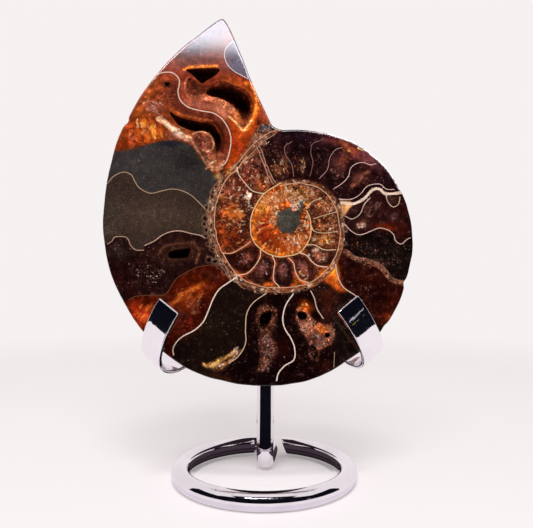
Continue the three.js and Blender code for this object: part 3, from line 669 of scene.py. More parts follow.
def paint(p):
    c = Canvas(p)
    # -- outer whorl, from the mouth round to the inner end: one chamber after another
    c.fill(chain([(222, 5), (250, 30)], cv(S1)[::1], [(262, 80), (285, 122), (271, 123), (262, 137), (245, 155), (236, 167), (222, 170)],
                 cv(S2)[::-1], [(135, 80), (150, 40)]), (112, 44, 26), mot=0.6)
    # painted sheen: grey-violet right of the first septum at the tip, the tint of the light's sheen there
    c.fill(chain([(222, 5), (250, 30)], cv(S1), [(275, 75), (250, 20)]), (92, 84, 96), mot=0.3)
    c.fill(chain([(135, 80)], cv(S2), [(218, 176)], cv(GREY)[::-1], [(85, 153), (85, 80)]), (112, 50, 26), mot=0.9)
    c.fill(chain([(85, 152)], cv(GREY), [(228, 188), (212, 214)], cv(S4)[::-1], [(85, 200)]), (50, 46, 44), mot=0.25, spk=0.7)
    c.fill(chain([(85, 200)], cv(S4), [(220, 212), (218, 242)], cv(S5B)[::-1], cv(S5A)[::-1], [(85, 247)]), (52, 40, 34), mot=0.25, spk=1.0)
    c.fill(chain([(85, 247)], cv(S5A), cv(S5B), [(220, 242), (228, 262)], cv(S6)[::-1], [(95, 308)]), (30, 12, 11), mot=0.8)
    c.fill(chain([(95, 308)], cv(S6), [(237, 277)], cv(S7), [(165, 378), (115, 345)]), (70, 19, 8), mot=0.9)
    c.fill(chain([(165, 378)], cv(S7)[::-1], [(252, 286)], cv(S8), [(222, 372), (210, 395), (170, 390)]), (26, 15, 11), mot=0.4, spk=0.55)
    c.fill(chain([(210, 395), (222, 372)], cv(S8)[::-1], [(280, 290)], cv(S9), [(276, 398)]), (19, 5, 5), mot=0.7)
    c.fill(chain([(276, 398)], cv(S9)[::-1], cv(S10A), [(333, 335)], cv(S10B), [(333, 392)]), (21, 5, 4), mot=0.7)
    c.fill(chain([(333, 392)], cv(S10B)[::-1], [(333, 335)], cv(S10A)[::-1], [(330, 269)], cv(S11), [(374, 320), (392, 345), (360, 378)]),
           (28, 15, 12), mot=0.7, spk=0.3)
    c.fill(chain(cv(S11), [(374, 320), (392, 345), (428, 320), (418, 284)], cv(S12)[::-1]), (44, 13, 8), mot=0.9)
    c.fill(chain(cv(S12), [(418, 284), (424, 237)], cv(S13)[::-1]), (20, 11, 9), mot=0.8, spk=0.8)
    c.fill(chain(cv(S13), [(424, 237), (414, 192)], cv(S14)[::-1]), (40, 16, 15), mot=0.9)
    c.fill(chain(cv(S14), [(414, 192), (400, 172), (376, 150), (342, 132), (300, 124), (258, 120), (252, 147)], cv(S20),
                 [(298, 181), (327, 190)]), (30, 11, 11), mot=0.8)

    # -- mouth chamber
    # painted sheen: grey-violet over the tip, the tint of the light's sheen there
    c.blob(214, 30, 26, 14, (66, 63, 84), 0.9, ang=-38)
    c.blob(196, 45, 22, 9, (62, 58, 76), 0.85, ang=-38)
    c.blob(205, 60, 26, 5, (96, 44, 34), 0.8, ang=-6)
    c.blob(176, 62, 12, 6, (104, 56, 46), 0.7, ang=-40)
    c.blob(236, 58, 7, 12, (74, 70, 90), 0.7, ang=20)
    c.blob(190, 74, 9, 12, (108, 42, 28), 0.8)
    c.blob(216, 62, 10, 4, (120, 52, 40), 0.6)
    c.blob(238, 82, 14, 5, (150, 66, 34), 0.8, ang=30)
    c.blob(258, 108, 6, 20, (142, 56, 26), 0.85, ang=-20)
    c.blob(263, 116, 4, 9, (158, 76, 58), 0.8, ang=-25)
    c.blob(200, 105, 22, 4.2, (150, 88, 72), 0.95, ang=10, wob=1)
    c.blob(222, 112, 12, 4.5, (166, 104, 80), 0.95, ang=40, wob=1)
    c.blob(183, 90, 3.4, 10, (128, 62, 46), 0.9, wob=1)
    c.fill([(229, 118), (236, 124), (243, 131), (250, 124), (258, 126), (262, 132), (250, 148), (238, 164), (226, 170), (230, 152), (232, 138)],
           (146, 58, 22), soft=2.5, wob=1)
    c.blob(238, 138, 5, 9, (186, 86, 34), 0.8, ang=10)
    c.blob(248, 146, 4, 10, (120, 44, 16), 0.7, ang=30)
    c.blob(234, 158, 4, 8, (162, 68, 24), 0.7, ang=15)

    # -- second chamber
    c.blob(146, 88, 16, 12, (132, 62, 34), 0.9, ang=-50)
    c.blob(164, 80, 9, 6, (134, 60, 36), 0.9)
    c.blob(168, 96, 9, 8, (112, 50, 36), 0.9, mot=1.0)
    # painted shade: a soft dark blob stands for the dark inside of the small shallow hollow here
    c.blob(167, 84.6, 4.4, 3.4, (44, 17, 12), 0.95, wob=1.6, hard=1.5)
    c.blob(152, 106, 10, 5, (126, 66, 56), 0.95, ang=18, cry=0.4)
    c.blob(140, 110, 7, 6, (150, 74, 36), 0.7, ang=-50)
    c.stroke([(143, 103), (150, 101), (158, 104)], 0.5, (176, 136, 116), 0.7)
    c.stroke([(146, 109), (154, 111), (162, 116)], 0.6, (186, 142, 118), 0.7)
    c.fill([(133, 119), (142, 115), (154, 120), (161, 126), (168, 133), (166, 139), (152, 142), (140, 144), (128, 146), (124, 136)],
           (120, 46, 18), soft=2.0, wob=2, cry=0.4, mot=1.0)
    c.blob(143.5, 122.5, 3.2, 6, (232, 140, 52), 0.9, ang=-14, wob=3, hard=2)
    c.blob(153, 131, 3.2, 7, (236, 158, 72), 0.9, ang=-6, wob=3, hard=2)
    c.blob(147, 137, 3, 4.5, (206, 100, 32), 0.9, wob=3, hard=2)
    c.blob(138, 133, 2.4, 7, (196, 92, 34), 0.8, ang=-10, wob=3, hard=2)
    c.blob(160, 134, 4, 4, (186, 92, 38), 0.8, wob=3)
    c.blob(148.6, 128, 1.6, 6, (96, 36, 12), 0.8, ang=-10, wob=2)
    c.blob(132, 137, 4.5, 6, (118, 54, 38), 0.9, cry=0.4)
    c.stroke([(130, 132), (133, 130), (135.5, 134), (133, 139), (129.5, 137), (130, 132)], 0.5, (176, 96, 60), 0.7)
    c.blob(120, 146, 12, 4, (118, 40, 16), 0.9, ang=-10)
    c.blob(127, 128, 4, 8, (150, 62, 24), 0.8, ang=25)
    c.blob(172, 136, 9, 4, (120, 64, 46), 0.9, ang=12)
    band = offset(S2[5:], 5.0)
    c.stroke(band, 4.0, (92, 40, 28), 0.95, soft=1.2, steps=1, mot=0.6)
    c.stroke(offset(S2[9:], 7.6), 1.6, (58, 20, 13), 0.9, soft=1.4, steps=1)
    c.fill([(193, 133), (203, 131.5), (211, 135), (214.4, 144), (215, 152), (221, 152), (226, 155), (224, 163), (219, 170), (210, 168),
            (203, 160), (196, 150), (189, 142)], (118, 60, 42), soft=1.6, wob=1, mot=0.9, cry=0.4)
    c.blob(203, 142, 6, 6, (104, 46, 34), 0.8, cry=0.5)
    c.stroke([(193, 134), (199, 131.4), (207, 133), (212.4, 139), (213.6, 146), (209, 151), (203, 150)], 0.75, (206, 150, 112), 0.9)
    c.stroke([(159, 118.6), (167, 124.6), (173, 129), (181, 134), (189, 138.6)], 2.7, (206, 158, 126), 0.95, soft=0.9, wob=1.8, cry=0.3, mot=1.0)
    c.stroke([(163, 121.4), (169, 126), (175, 130)], 0.9, (246, 214, 176), 0.9, soft=0.8, wob=1.0)
    c.blob(178.6, 133.6, 6, 3.6, (226, 190, 170), 0.95, ang=22, wob=1.4)
    c.blob(186, 137, 4, 2.6, (206, 156, 124), 0.9, ang=30, wob=1)
    c.stroke([(189, 138), (195, 146), (201, 156), (208, 165), (216, 170), (222, 168)], 1.1, (196, 136, 102), 0.85, wob=0.8)
    c.stroke([(207, 160), (212, 166), (219, 167), (224, 161)], 0.7, (214, 160, 122), 0.9)
    c.stroke([(170, 109), (180, 114), (191, 117), (203, 119), (212, 120.6)], 0.8, (150, 78, 44), 0.8)

    # -- grey and olive chambers
    c.blob(170, 144, 12, 3.6, (27, 26, 36), 0.9, ang=-3)
    c.blob(188, 160, 16, 12, (33, 29, 27), 0.8)
    c.blob(140, 164, 22, 10, (58, 54, 52), 0.6)
    c.blob(200, 186, 10, 14, (46, 40, 36), 0.6)
    c.stroke([(118, 150), (128, 149), (138, 147)], 1.4, (92, 40, 24), 0.7)
    c.blob(150, 215, 40, 18, (76, 62, 50), 0.5)
    c.blob(196, 222, 12, 10, (62, 48, 36), 0.5)
    c.blob(112, 214, 8, 20, (60, 54, 44), 0.5)
    for k, y in enumerate((226.5, 229.4, 232.2, 234)):
        c.stroke([(104.5, y + 1), (109, y - 0.4), (114 + k, y - 1.6)], 0.25, (120, 108, 94), 0.5, soft=0.4)

    # -- plum chamber with its cavity
    c.blob(120, 252, 12, 8, (46, 38, 32), 0.9)
    c.blob(118, 276, 12, 16, (38, 12, 10), 0.7)
    c.blob(178, 252, 26, 12, (62, 36, 25), 0.85, ang=-8)
    c.blob(196, 252, 7, 9, (58, 29, 21), 0.8, cry=0.6)
    c.stroke([(160, 252), (166, 246), (178, 243.6), (192, 243), (199, 250), (196, 262)], 1.2, (92, 58, 42), 0.7, wob=1)
    c.blob(154, 276, 16, 8, (38, 20, 19), 0.85, ang=-18, cry=0.85)
    c.blob(150, 286, 10, 4, (34, 14, 12), 0.8)
    c.blob(132, 288, 14, 6, (44, 18, 13), 0.7)

    # -- orange chamber
    c.blob(144, 317, 10, 11, (178, 64, 20), 0.95, ang=-40)
    c.blob(136, 311, 5, 8, (140, 42, 14), 0.8)
    c.blob(190, 296, 18, 9, (120, 44, 16), 0.9, ang=-30, mot=1.0)
    c.stroke([(170, 305), (179, 298), (189, 290.6), (202, 284)], 2.0, (176, 86, 34), 0.85, soft=2.2, wob=1.5)
    c.blob(193, 304, 8, 7, (104, 48, 30), 0.85, mot=1.0, cry=0.6)
    c.blob(212, 276, 12, 5, (52, 22, 12), 0.8, ang=10)
    c.blob(203, 309, 5, 12, (50, 13, 7), 0.85, ang=25)
    c.blob(190, 324, 12, 7, (72, 17, 8), 0.8)
    c.blob(160, 296, 10, 2.6, (74, 36, 22), 0.7)
    c.blob(184, 336, 10, 4, (66, 22, 12), 0.7, ang=-30)

    # -- olive chamber below
    c.blob(214, 326, 14, 10, (36, 24, 16), 0.5)
    c.blob(226, 348, 14, 8, (22, 13, 9), 0.6)
    c.blob(190, 356, 10, 10, (22, 12, 9), 0.6)
    c.fill([(199, 362), (209, 362.6), (220, 358), (231, 352), (239, 347.6), (240.5, 351), (233, 360), (226, 368), (216, 372), (212, 368)],
           (70, 42, 24), soft=1.8, wob=1.8, cry=0.7, mot=1.0)
    c.stroke([(203, 364.6), (211, 366), (219, 362), (226, 357), (233, 352)], 1.4, (190, 142, 82), 0.9, soft=1.4, wob=1.8, cry=0.6)
    c.blob(216, 364, 6, 2.4, (226, 180, 112), 0.9, ang=-26, wob=2)
    c.stroke([(222, 368), (230, 362), (237, 355), (242, 350)], 0.9, (176, 124, 86), 0.8, soft=0.9, wob=1.4, cry=0.8)
    c.blob(220, 377, 14, 3.4, (60, 28, 16), 0.8, ang=14, cry=0.4)

    # -- black chamber with crystal crust
    c.fill([(258, 307), (268, 303), (277, 310), (276, 324), (270, 334), (275, 342), (279, 352), (272, 362), (264, 372), (257, 371), (260, 358),
            (258, 344), (260, 334), (256, 322)], (68, 34, 24), soft=2.0, wob=1.6, cry=0.75, mot=1.0)
    c.blob(270, 346, 6, 10, (92, 48, 36), 0.7, ang=-10, cry=0.95)
    c.blob(264, 364, 4, 6, (104, 70, 52), 0.7, ang=25)
    c.blob(253, 338, 4, 18, (26, 9, 7), 0.6)
    c.blob(284, 350, 6, 12, (56, 16, 10), 0.6)
    c.blob(262, 300, 8, 4, (26, 10, 6), 0.7)

    # -- chamber with brown crystals
    c.fill([(296, 308), (305, 306), (312, 318), (322, 324), (333, 324), (334.5, 336), (332, 345), (320, 350), (318, 362), (310.8, 358), (309, 343),
            (300, 329), (296, 318)], (108, 62, 46), soft=1.8, wob=1.4, cry=0.8, mot=1.0)
    c.blob(306, 306, 7, 5, (188, 84, 26), 0.9, ang=30)
    c.blob(322, 329, 5, 3.4, (196, 92, 34), 0.9, ang=30)
    c.blob(305, 328, 5, 5, (146, 94, 76), 0.8, cry=0.95)
    c.blob(316, 340, 7, 6, (84, 44, 34), 0.8, cry=0.95)
    c.blob(313, 352, 4, 7, (92, 54, 44), 0.7, cry=0.95)
    c.blob(306, 364, 12, 10, (26, 8, 6), 0.7)
    c.blob(328, 312, 8, 10, (54, 20, 12), 0.8)
    c.blob(328, 296, 10, 9, (74, 28, 16), 0.8)
    c.blob(345, 340, 9, 16, (32, 23, 18), 0.8)
    c.blob(326, 366, 8, 6, (62, 26, 18), 0.7)

    # -- red-brown chamber on the right
    c.fill([(322, 279), (330, 268), (337, 262), (340, 280), (347, 292), (338, 292), (330, 284)], (170, 74, 22), soft=3, wob=1)
    c.blob(333, 270, 4.6, 5, (248, 172, 62), 0.95, wob=1)
    c.blob(336, 280, 2.6, 6, (222, 124, 40), 0.8, wob=1)
    c.blob(372, 280, 12, 5, (54, 14, 7), 0.7)
    c.blob(352, 283, 8, 6, (30, 9, 6), 0.7)
    c.blob(378, 294, 14, 9, (28, 8, 5), 0.6)
    c.blob(394, 300, 7, 10, (66, 20, 10), 0.7)
    c.blob(388, 318, 7, 8, (112, 44, 24), 0.8, ang=-40)
    c.stroke(S12, 2.1, (112, 68, 52), 0.92, soft=1.2, wob=1.2, cry=0.9)
    c.stroke(offset(S12, -2.2, 1.0, 3), 0.5, (186, 138, 112), 0.7, soft=0.6, steps=1)

    # -- olive-black chamber on the right
    c.blob(370, 248, 14, 8, (26, 14, 11), 0.7, cry=0.6)
    c.blob(396, 258, 10, 12, (28, 17, 14), 0.7, cry=0.5)
    c.blob(352, 244, 7, 6, (20, 8, 6), 0.7, cry=0.3)

    # -- brown chamber on the right
    c.blob(386, 227, 12, 3.6, (116, 36, 13), 0.85, ang=6)
    c.blob(402, 228, 5, 6, (62, 18, 10), 0.8)
    c.blob(404, 208, 4, 10, (46, 14, 10), 0.7)
    c.blob(370, 212, 10, 6, (58, 32, 27), 0.8, ang=-42, cry=0.9)
    c.blob(361, 225, 4.5, 2.6, (140, 100, 78), 0.9, ang=-30, cry=0.7)
    c.blob(393, 217, 5, 4, (80, 54, 56), 0.7, cry=0.4)
    c.blob(356, 214, 8, 3.6, (12, 5, 5), 0.8, ang=-20)
    c.blob(352, 224, 8, 4, (40, 20, 18), 0.7)
    c.blob(392, 201, 5, 4, (62, 38, 34), 0.8)
    c.blob(354, 211, 7, 4, (52, 30, 28), 0.8)
    c.fill([(340, 200), (350, 201), (354, 203.5), (350, 208), (346, 214), (343, 218), (341, 210)], (206, 150, 104), soft=1.2, wob=0.8)

    # -- plum chambers above
    c.blob(300, 138, 20, 6, (36, 19, 30), 0.7)
    c.blob(280, 136, 10, 5, (42, 20, 24), 0.7)
    c.blob(332, 141, 10, 4, (88, 44, 42), 0.7, ang=14)
    c.blob(352, 149, 12, 5, (140, 62, 48), 0.85, ang=32)
    c.blob(345, 144, 6, 3, (166, 92, 56), 0.6, ang=25)
    c.blob(364, 160, 12, 4, (108, 52, 46), 0.8, ang=34)
    c.blob(340, 162, 7, 9, (92, 48, 44), 0.8, ang=20, cry=0.35)
    c.blob(326, 168, 5, 9, (44, 22, 20), 0.8, ang=20)
    c.blob(300, 166, 5, 10, (44, 24, 20), 0.8, cry=0.5)
    c.blob(303.6, 166, 1.4, 7, (150, 106, 74), 0.75, wob=1.6, cry=0.9)
    c.blob(280, 168, 9, 8, (80, 44, 32), 0.85, cry=0.95)
    c.blob(276, 172, 4, 4, (140, 92, 60), 0.7, cry=0.95)
    c.blob(284, 160, 3, 4, (120, 78, 54), 0.6, cry=0.95)
    c.blob(272, 150, 8, 8, (40, 19, 16), 0.8)
    c.blob(362, 178, 9, 7, (88, 44, 34), 0.7)
    c.stroke([(352, 186), (359, 181), (363, 174), (369, 172)], 1.6, (140, 84, 62), 0.6, soft=1.6)
    c.blob(385, 178, 8, 8, (36, 18, 24), 0.7, ang=50)
    c.blob(370, 160, 14, 4.5, (118, 66, 70), 0.8, ang=38)
    c.blob(345, 158, 7, 5, (92, 44, 38), 0.7)

    # -- second whorl: ground, then each chamber
    whorl = chain(cv(WALL2), [(272, 178), (262, 158)])
    c.fill(whorl, (66, 32, 22), soft=0.9, mot=0.8, cry=0.5)
    c.blob(246, 178, 12, 12, (112, 54, 38), 0.95, ang=30, cry=0.85)
    c.blob(263, 186, 7, 5, (156, 88, 52), 0.85, cry=0.85)
    c.blob(256, 164, 8, 8, (88, 44, 36), 0.9, cry=0.8)
    c.blob(230, 192, 10, 10, (118, 60, 42), 0.95, cry=0.9)
    c.blob(246, 200, 6, 8, (62, 32, 24), 0.8, cry=0.6)
    c.blob(228, 212, 11, 8, (148, 74, 40), 0.95, cry=0.95)
    c.blob(222, 231, 7, 11, (106, 42, 22), 0.9, cry=0.9)
    c.blob(239, 220, 7, 9, (98, 40, 22), 0.9, cry=0.9)
    c.blob(235, 239, 11, 8, (80, 26, 11), 0.95, cry=0.5)
    c.blob(246, 232, 4, 9, (70, 32, 18), 0.8)
    c.blob(226, 244, 6, 6, (128, 58, 20), 0.8)
    for x, y, rx, ry, rgb, amt, ang in ((228, 189, 8, 7, (134, 78, 62), 0.7, 0), (231, 213, 7, 4.4, (204, 122, 62), 0.8, 0), (239, 216, 4.4, 2.2, (210, 134, 70), 0.75, 24),
                                        (221.6, 197, 1.5, 5, (206, 124, 56), 0.8, -28), (244.5, 221, 3.6, 8, (44, 18, 11), 0.8, 10), (222, 232, 5, 7, (156, 68, 26), 0.65, 0),
                                        (236, 239, 8, 5, (88, 28, 11), 0.65, 0), (218.5, 214, 2.4, 6, (70, 30, 18), 0.7, 0)):
        c.blob(x, y, rx, ry, rgb, amt, ang=ang, wob=1.6, cry=0.5)
    # lower chambers: dark, paler in the middle, orange at the roots
    c.stroke([(226, 262), (238, 278), (254, 286), (276, 289), (300, 286), (318, 280), (332, 264)], 3.2, (168, 78, 28), 0.85, soft=2.5)
    for line in (T2, T3, T4, T5, T6):
        c.stroke(line, 2.2, (150, 70, 32), 0.75, soft=2.0)
    for room, dark in (([(225, 255), (238, 253), (250, 246), (257, 247), (259, 252), (257, 263), (250, 270), (242, 273), (233, 268), (227, 262)], (38, 12, 8)),
                       ([(267, 257), (271, 260), (272.5, 270), (270.5, 280), (263, 285), (255, 283.5), (248, 279), (252, 273), (258, 265), (262, 258)], (36, 14, 12)),
                       ([(278.5, 261), (285, 258), (290.5, 262.5), (292.5, 272), (293, 280), (289, 286), (282, 287), (276, 284), (275.5, 273)], (36, 14, 12)),
                       ([(295, 257), (301.5, 254.5), (306.5, 258.5), (310, 265), (314.5, 270), (313, 276.5), (308, 280), (302, 278), (297, 271.5), (294.5, 263)], (52, 22, 16)),
                       ([(307, 248), (315, 246), (325, 250), (333, 253.5), (334, 260), (330, 264.5), (322, 266), (315, 263), (309.5, 256.5)], (34, 14, 9))):
        c.fill(room, dark, soft=1.5, amt=0.95, wob=0.6, cry=0.3)
    for x, y, rx, ry, rgb, ang in ((247.5, 257.5, 7, 5.5, (128, 72, 60), -40), (262, 268.5, 4.6, 8, (132, 84, 80), 32), (283, 270, 4, 8, (130, 82, 76), 4),
                                   (304, 269, 5, 8, (132, 78, 58), -32), (319.5, 257, 7, 4.4, (144, 88, 64), 20)):
        c.blob(x, y, rx, ry, rgb, 0.85, ang=ang, wob=1.5, cry=0.6, mot=1.0)
    c.blob(298, 280, 4, 3, (212, 122, 48), 0.8)
    c.blob(268, 284, 4, 2.4, (196, 104, 40), 0.8)
    c.blob(322, 274, 4, 3, (206, 120, 44), 0.8)
    c.blob(316, 250, 3.4, 2.2, (244, 226, 202), 0.95, ang=-20, wob=1)
    c.blob(320, 257, 7, 4, (128, 80, 60), 0.7, cry=0.95)
    # right chambers: gold-green crystals
    for x, y, rx, ry, rgb in ((324, 224, 11, 8, (82, 34, 17)), (324, 240, 11, 6, (150, 94, 52)), (322, 205, 10, 8, (132, 80, 54)),
                              (310, 196, 8, 6, (128, 86, 60)), (333, 220, 4, 12, (104, 66, 46))):
        c.blob(x, y, rx, ry, rgb, 0.92, cry=0.85, mot=0.9)
    c.blob(320, 226, 4, 3, (170, 112, 66), 0.7, cry=0.9)
    c.blob(327, 241, 4, 3, (170, 132, 66), 0.7, cry=0.9)
    c.blob(318, 238, 3, 4, (76, 52, 26), 0.7)
    c.blob(330, 230, 3, 3, (70, 42, 24), 0.7)
    c.blob(300, 186, 20, 4, (132, 86, 66), 0.9, ang=8, cry=0.8)

    # -- inner whorls: amber calcite about the middle
    amber = chain(cv(WALL3), [(300, 200), (292, 190)])
    c.fill(amber, (138, 66, 32), soft=1.0, mot=0.9, cry=0.55, fib=0.8)
    c.fill([(281, 184), (296, 184), (308, 190), (312, 200), (307, 211), (300, 214), (290, 200)], (126, 82, 44), soft=2.0, wob=1, cry=0.95)
    c.blob(262, 207, 6, 10, (190, 138, 72), 0.9, ang=10, cry=0.5)
    c.blob(270, 199, 8, 5, (190, 132, 78), 0.9, ang=-35, cry=0.95)
    c.blob(284, 195, 8, 5, (170, 120, 76), 0.9, cry=0.95)
    c.blob(276, 206, 5, 5, (198, 142, 88), 0.7, cry=0.95)
    c.blob(260, 228, 6, 9, (124, 30, 8), 0.95, cry=0.2)
    c.blob(269, 243, 10, 7.5, (84, 16, 4), 0.95, ang=30, cry=0.15)
    c.blob(286, 249, 10, 5, (156, 74, 30), 0.9, cry=0.3)
    c.blob(300, 242, 6, 6, (164, 98, 50), 0.9, cry=0.6)
    c.blob(296, 236, 6, 4, (150, 98, 52), 0.8, cry=0.8)
    c.blob(304, 226, 4, 8, (96, 58, 36), 0.9, cry=0.9)
    c.blob(266, 224, 4, 7, (136, 48, 16), 0.6)
    c.stroke(offset(WALL3[3:12], -2.6), 1.6, (230, 148, 62), 0.6, soft=1.4, wob=0.8, steps=1)
    # grey core, ragged at the edge
    ragged = [(HEART[0] + 0.7 + (12.2 + 1.5 * math.sin(5 * t + 1) * math.sin(2 * t) + 0.9 * math.sin(11 * t)) * math.cos(t),
               HEART[1] + (12.6 + 1.2 * math.sin(7 * t) + 0.8 * math.sin(13 * t + 2)) * math.sin(t)) for t in np.linspace(0, 2 * math.pi, 60, endpoint=False)]
    c.fill(ragged, (62, 59, 52), soft=0.8, wob=1.6, cry=0.0, fib=0.0, mot=0.5, spk=1.0)
    c.fill([(294, 208), (299, 201), (303.5, 199.4), (304, 203), (302, 212), (297, 214)], (58, 54, 47), soft=1.0, wob=1.2, cry=0.2, fib=0.0, spk=1.0)
    c.blob(283, 216, 5, 5, (74, 71, 62), 0.5)
    c.blob(296, 228, 4, 5, (40, 36, 30), 0.6)

    # -- walls of the whorls: bands of fine brown and cream crystals
    c.stroke(WALL2[:6], 2.6, (96, 56, 40), 0.92, soft=1.6, wob=1.2, cry=0.8)
    c.stroke(WALL2[5:13], 2.2, (104, 62, 46), 0.92, soft=1.4, wob=1.2, cry=0.8)
    c.stroke(WALL2[12:19], 2.2, (122, 70, 44), 0.92, soft=1.4, wob=1.2, cry=0.8)
    c.stroke(WALL2[18:], 2.0, (98, 60, 42), 0.9, soft=1.4, wob=1.0, cry=0.8)
    c.stroke(offset(WALL2[4:11], 4.2), 2.4, (66, 40, 31), 0.8, soft=2.0, wob=1.6, steps=1, cry=0.7)
    c.stroke(offset(WALL3[1:], -1.8), 0.8, (150, 84, 34), 0.6, soft=0.8, wob=0.5, steps=1)
    c.stroke(S20, 1.6, (96, 60, 46), 0.92, soft=1.0, wob=0.8, cry=0.6)
    for x, y, r in BUBBLES:
        c.blob(x, y, 1.35 * r + 1.9, 1.35 * r + 1.5, (128, 98, 80), 0.65, wob=1.2, hard=3, cry=0.2)
        c.blob(x, y, 1.35 * r + 0.3, 1.25 * r + 0.1, (10, 5, 4), 1.0, wob=1.0, hard=3, cry=0.0)
    # where the whorls part, under the mouth
    c.fill([(256, 128), (262, 124), (272, 122), (282, 128), (276, 134), (266, 140), (258, 150), (248, 160), (240, 166), (244, 152), (250, 140)],
           (104, 60, 42), soft=1.6, wob=1, cry=0.8, mot=1.0)
    c.fill([(258.4, 131.4), (261.4, 125.2), (272, 124.6), (275.6, 128.6), (268, 131), (262, 133)], (46, 46, 52), soft=0.8, wob=0.5)
    c.blob(218, 176, 4, 3, (206, 150, 96), 0.8)
    c.blob(230, 170, 5, 3, (176, 100, 44), 0.8, ang=-30)
    c.fill([(246.4, 190.4), (251.6, 193.4), (250.6, 199), (247.6, 200)], (238, 214, 190), soft=0.8)

    c.blob(237, 146, 8, 14, (128, 40, 16), 0.8, ang=-20)
    c.blob(172, 72, 10, 7, (164, 74, 56), 0.5, ang=-40)
    for x, y, rx, ry, rgb, amt, ang in ((341, 166, 4.5, 9, (98, 50, 42), 0.6, 20), (357, 177, 7, 3.2, (104, 58, 48), 0.6, -45), (332, 140, 10, 4, (104, 48, 44), 0.55, 14),
                                        (374, 206, 7, 5, (70, 40, 33), 0.7, -30), (362, 223, 5, 3, (106, 62, 46), 0.7, -25), (300, 150, 5, 8, (22, 9, 10), 0.7, 0),
                                        (320, 158, 4, 9, (26, 13, 16), 0.7, 0), (352, 264, 5, 5, (20, 7, 6), 0.6, 0), (392, 226, 8, 4, (66, 18, 12), 0.6, 10)):
        c.blob(x, y, rx, ry, rgb, amt, ang=ang, wob=1.8, mot=1.0)
    # -- rims of the hollows
    c.stroke([(184, 69.6), (192, 66.8), (204, 66.2), (217.4, 66)], 1.4, (206, 116, 52), 0.95, soft=0.9, wob=0.8, cry=0.5)
    c.stroke([(247, 83.6), (252, 86), (256.4, 94), (257, 104), (255.4, 113), (252, 121), (246, 130)], 2.4, (186, 92, 36), 0.95, soft=1.4, wob=0.8, cry=0.5)
    c.stroke([(253.6, 89), (255.8, 98), (255.6, 108), (252.6, 117), (248, 125)], 0.9, (220, 134, 68), 0.85, soft=0.9, wob=0.8)
    c.stroke([(229, 116.4), (236, 122.6), (243, 130.4), (247, 126.6), (251, 121)], 1.0, (240, 180, 122), 0.95, soft=0.7)
    c.stroke([(222, 79.6), (233, 83.2), (245.6, 88.4), (252.4, 97)], 0.9, (150, 76, 40), 0.7, soft=0.9)
    c.stroke([(187, 79), (185, 86), (186.4, 94), (190, 98.6)], 0.9, (176, 104, 78), 0.7, wob=0.8)

    return c


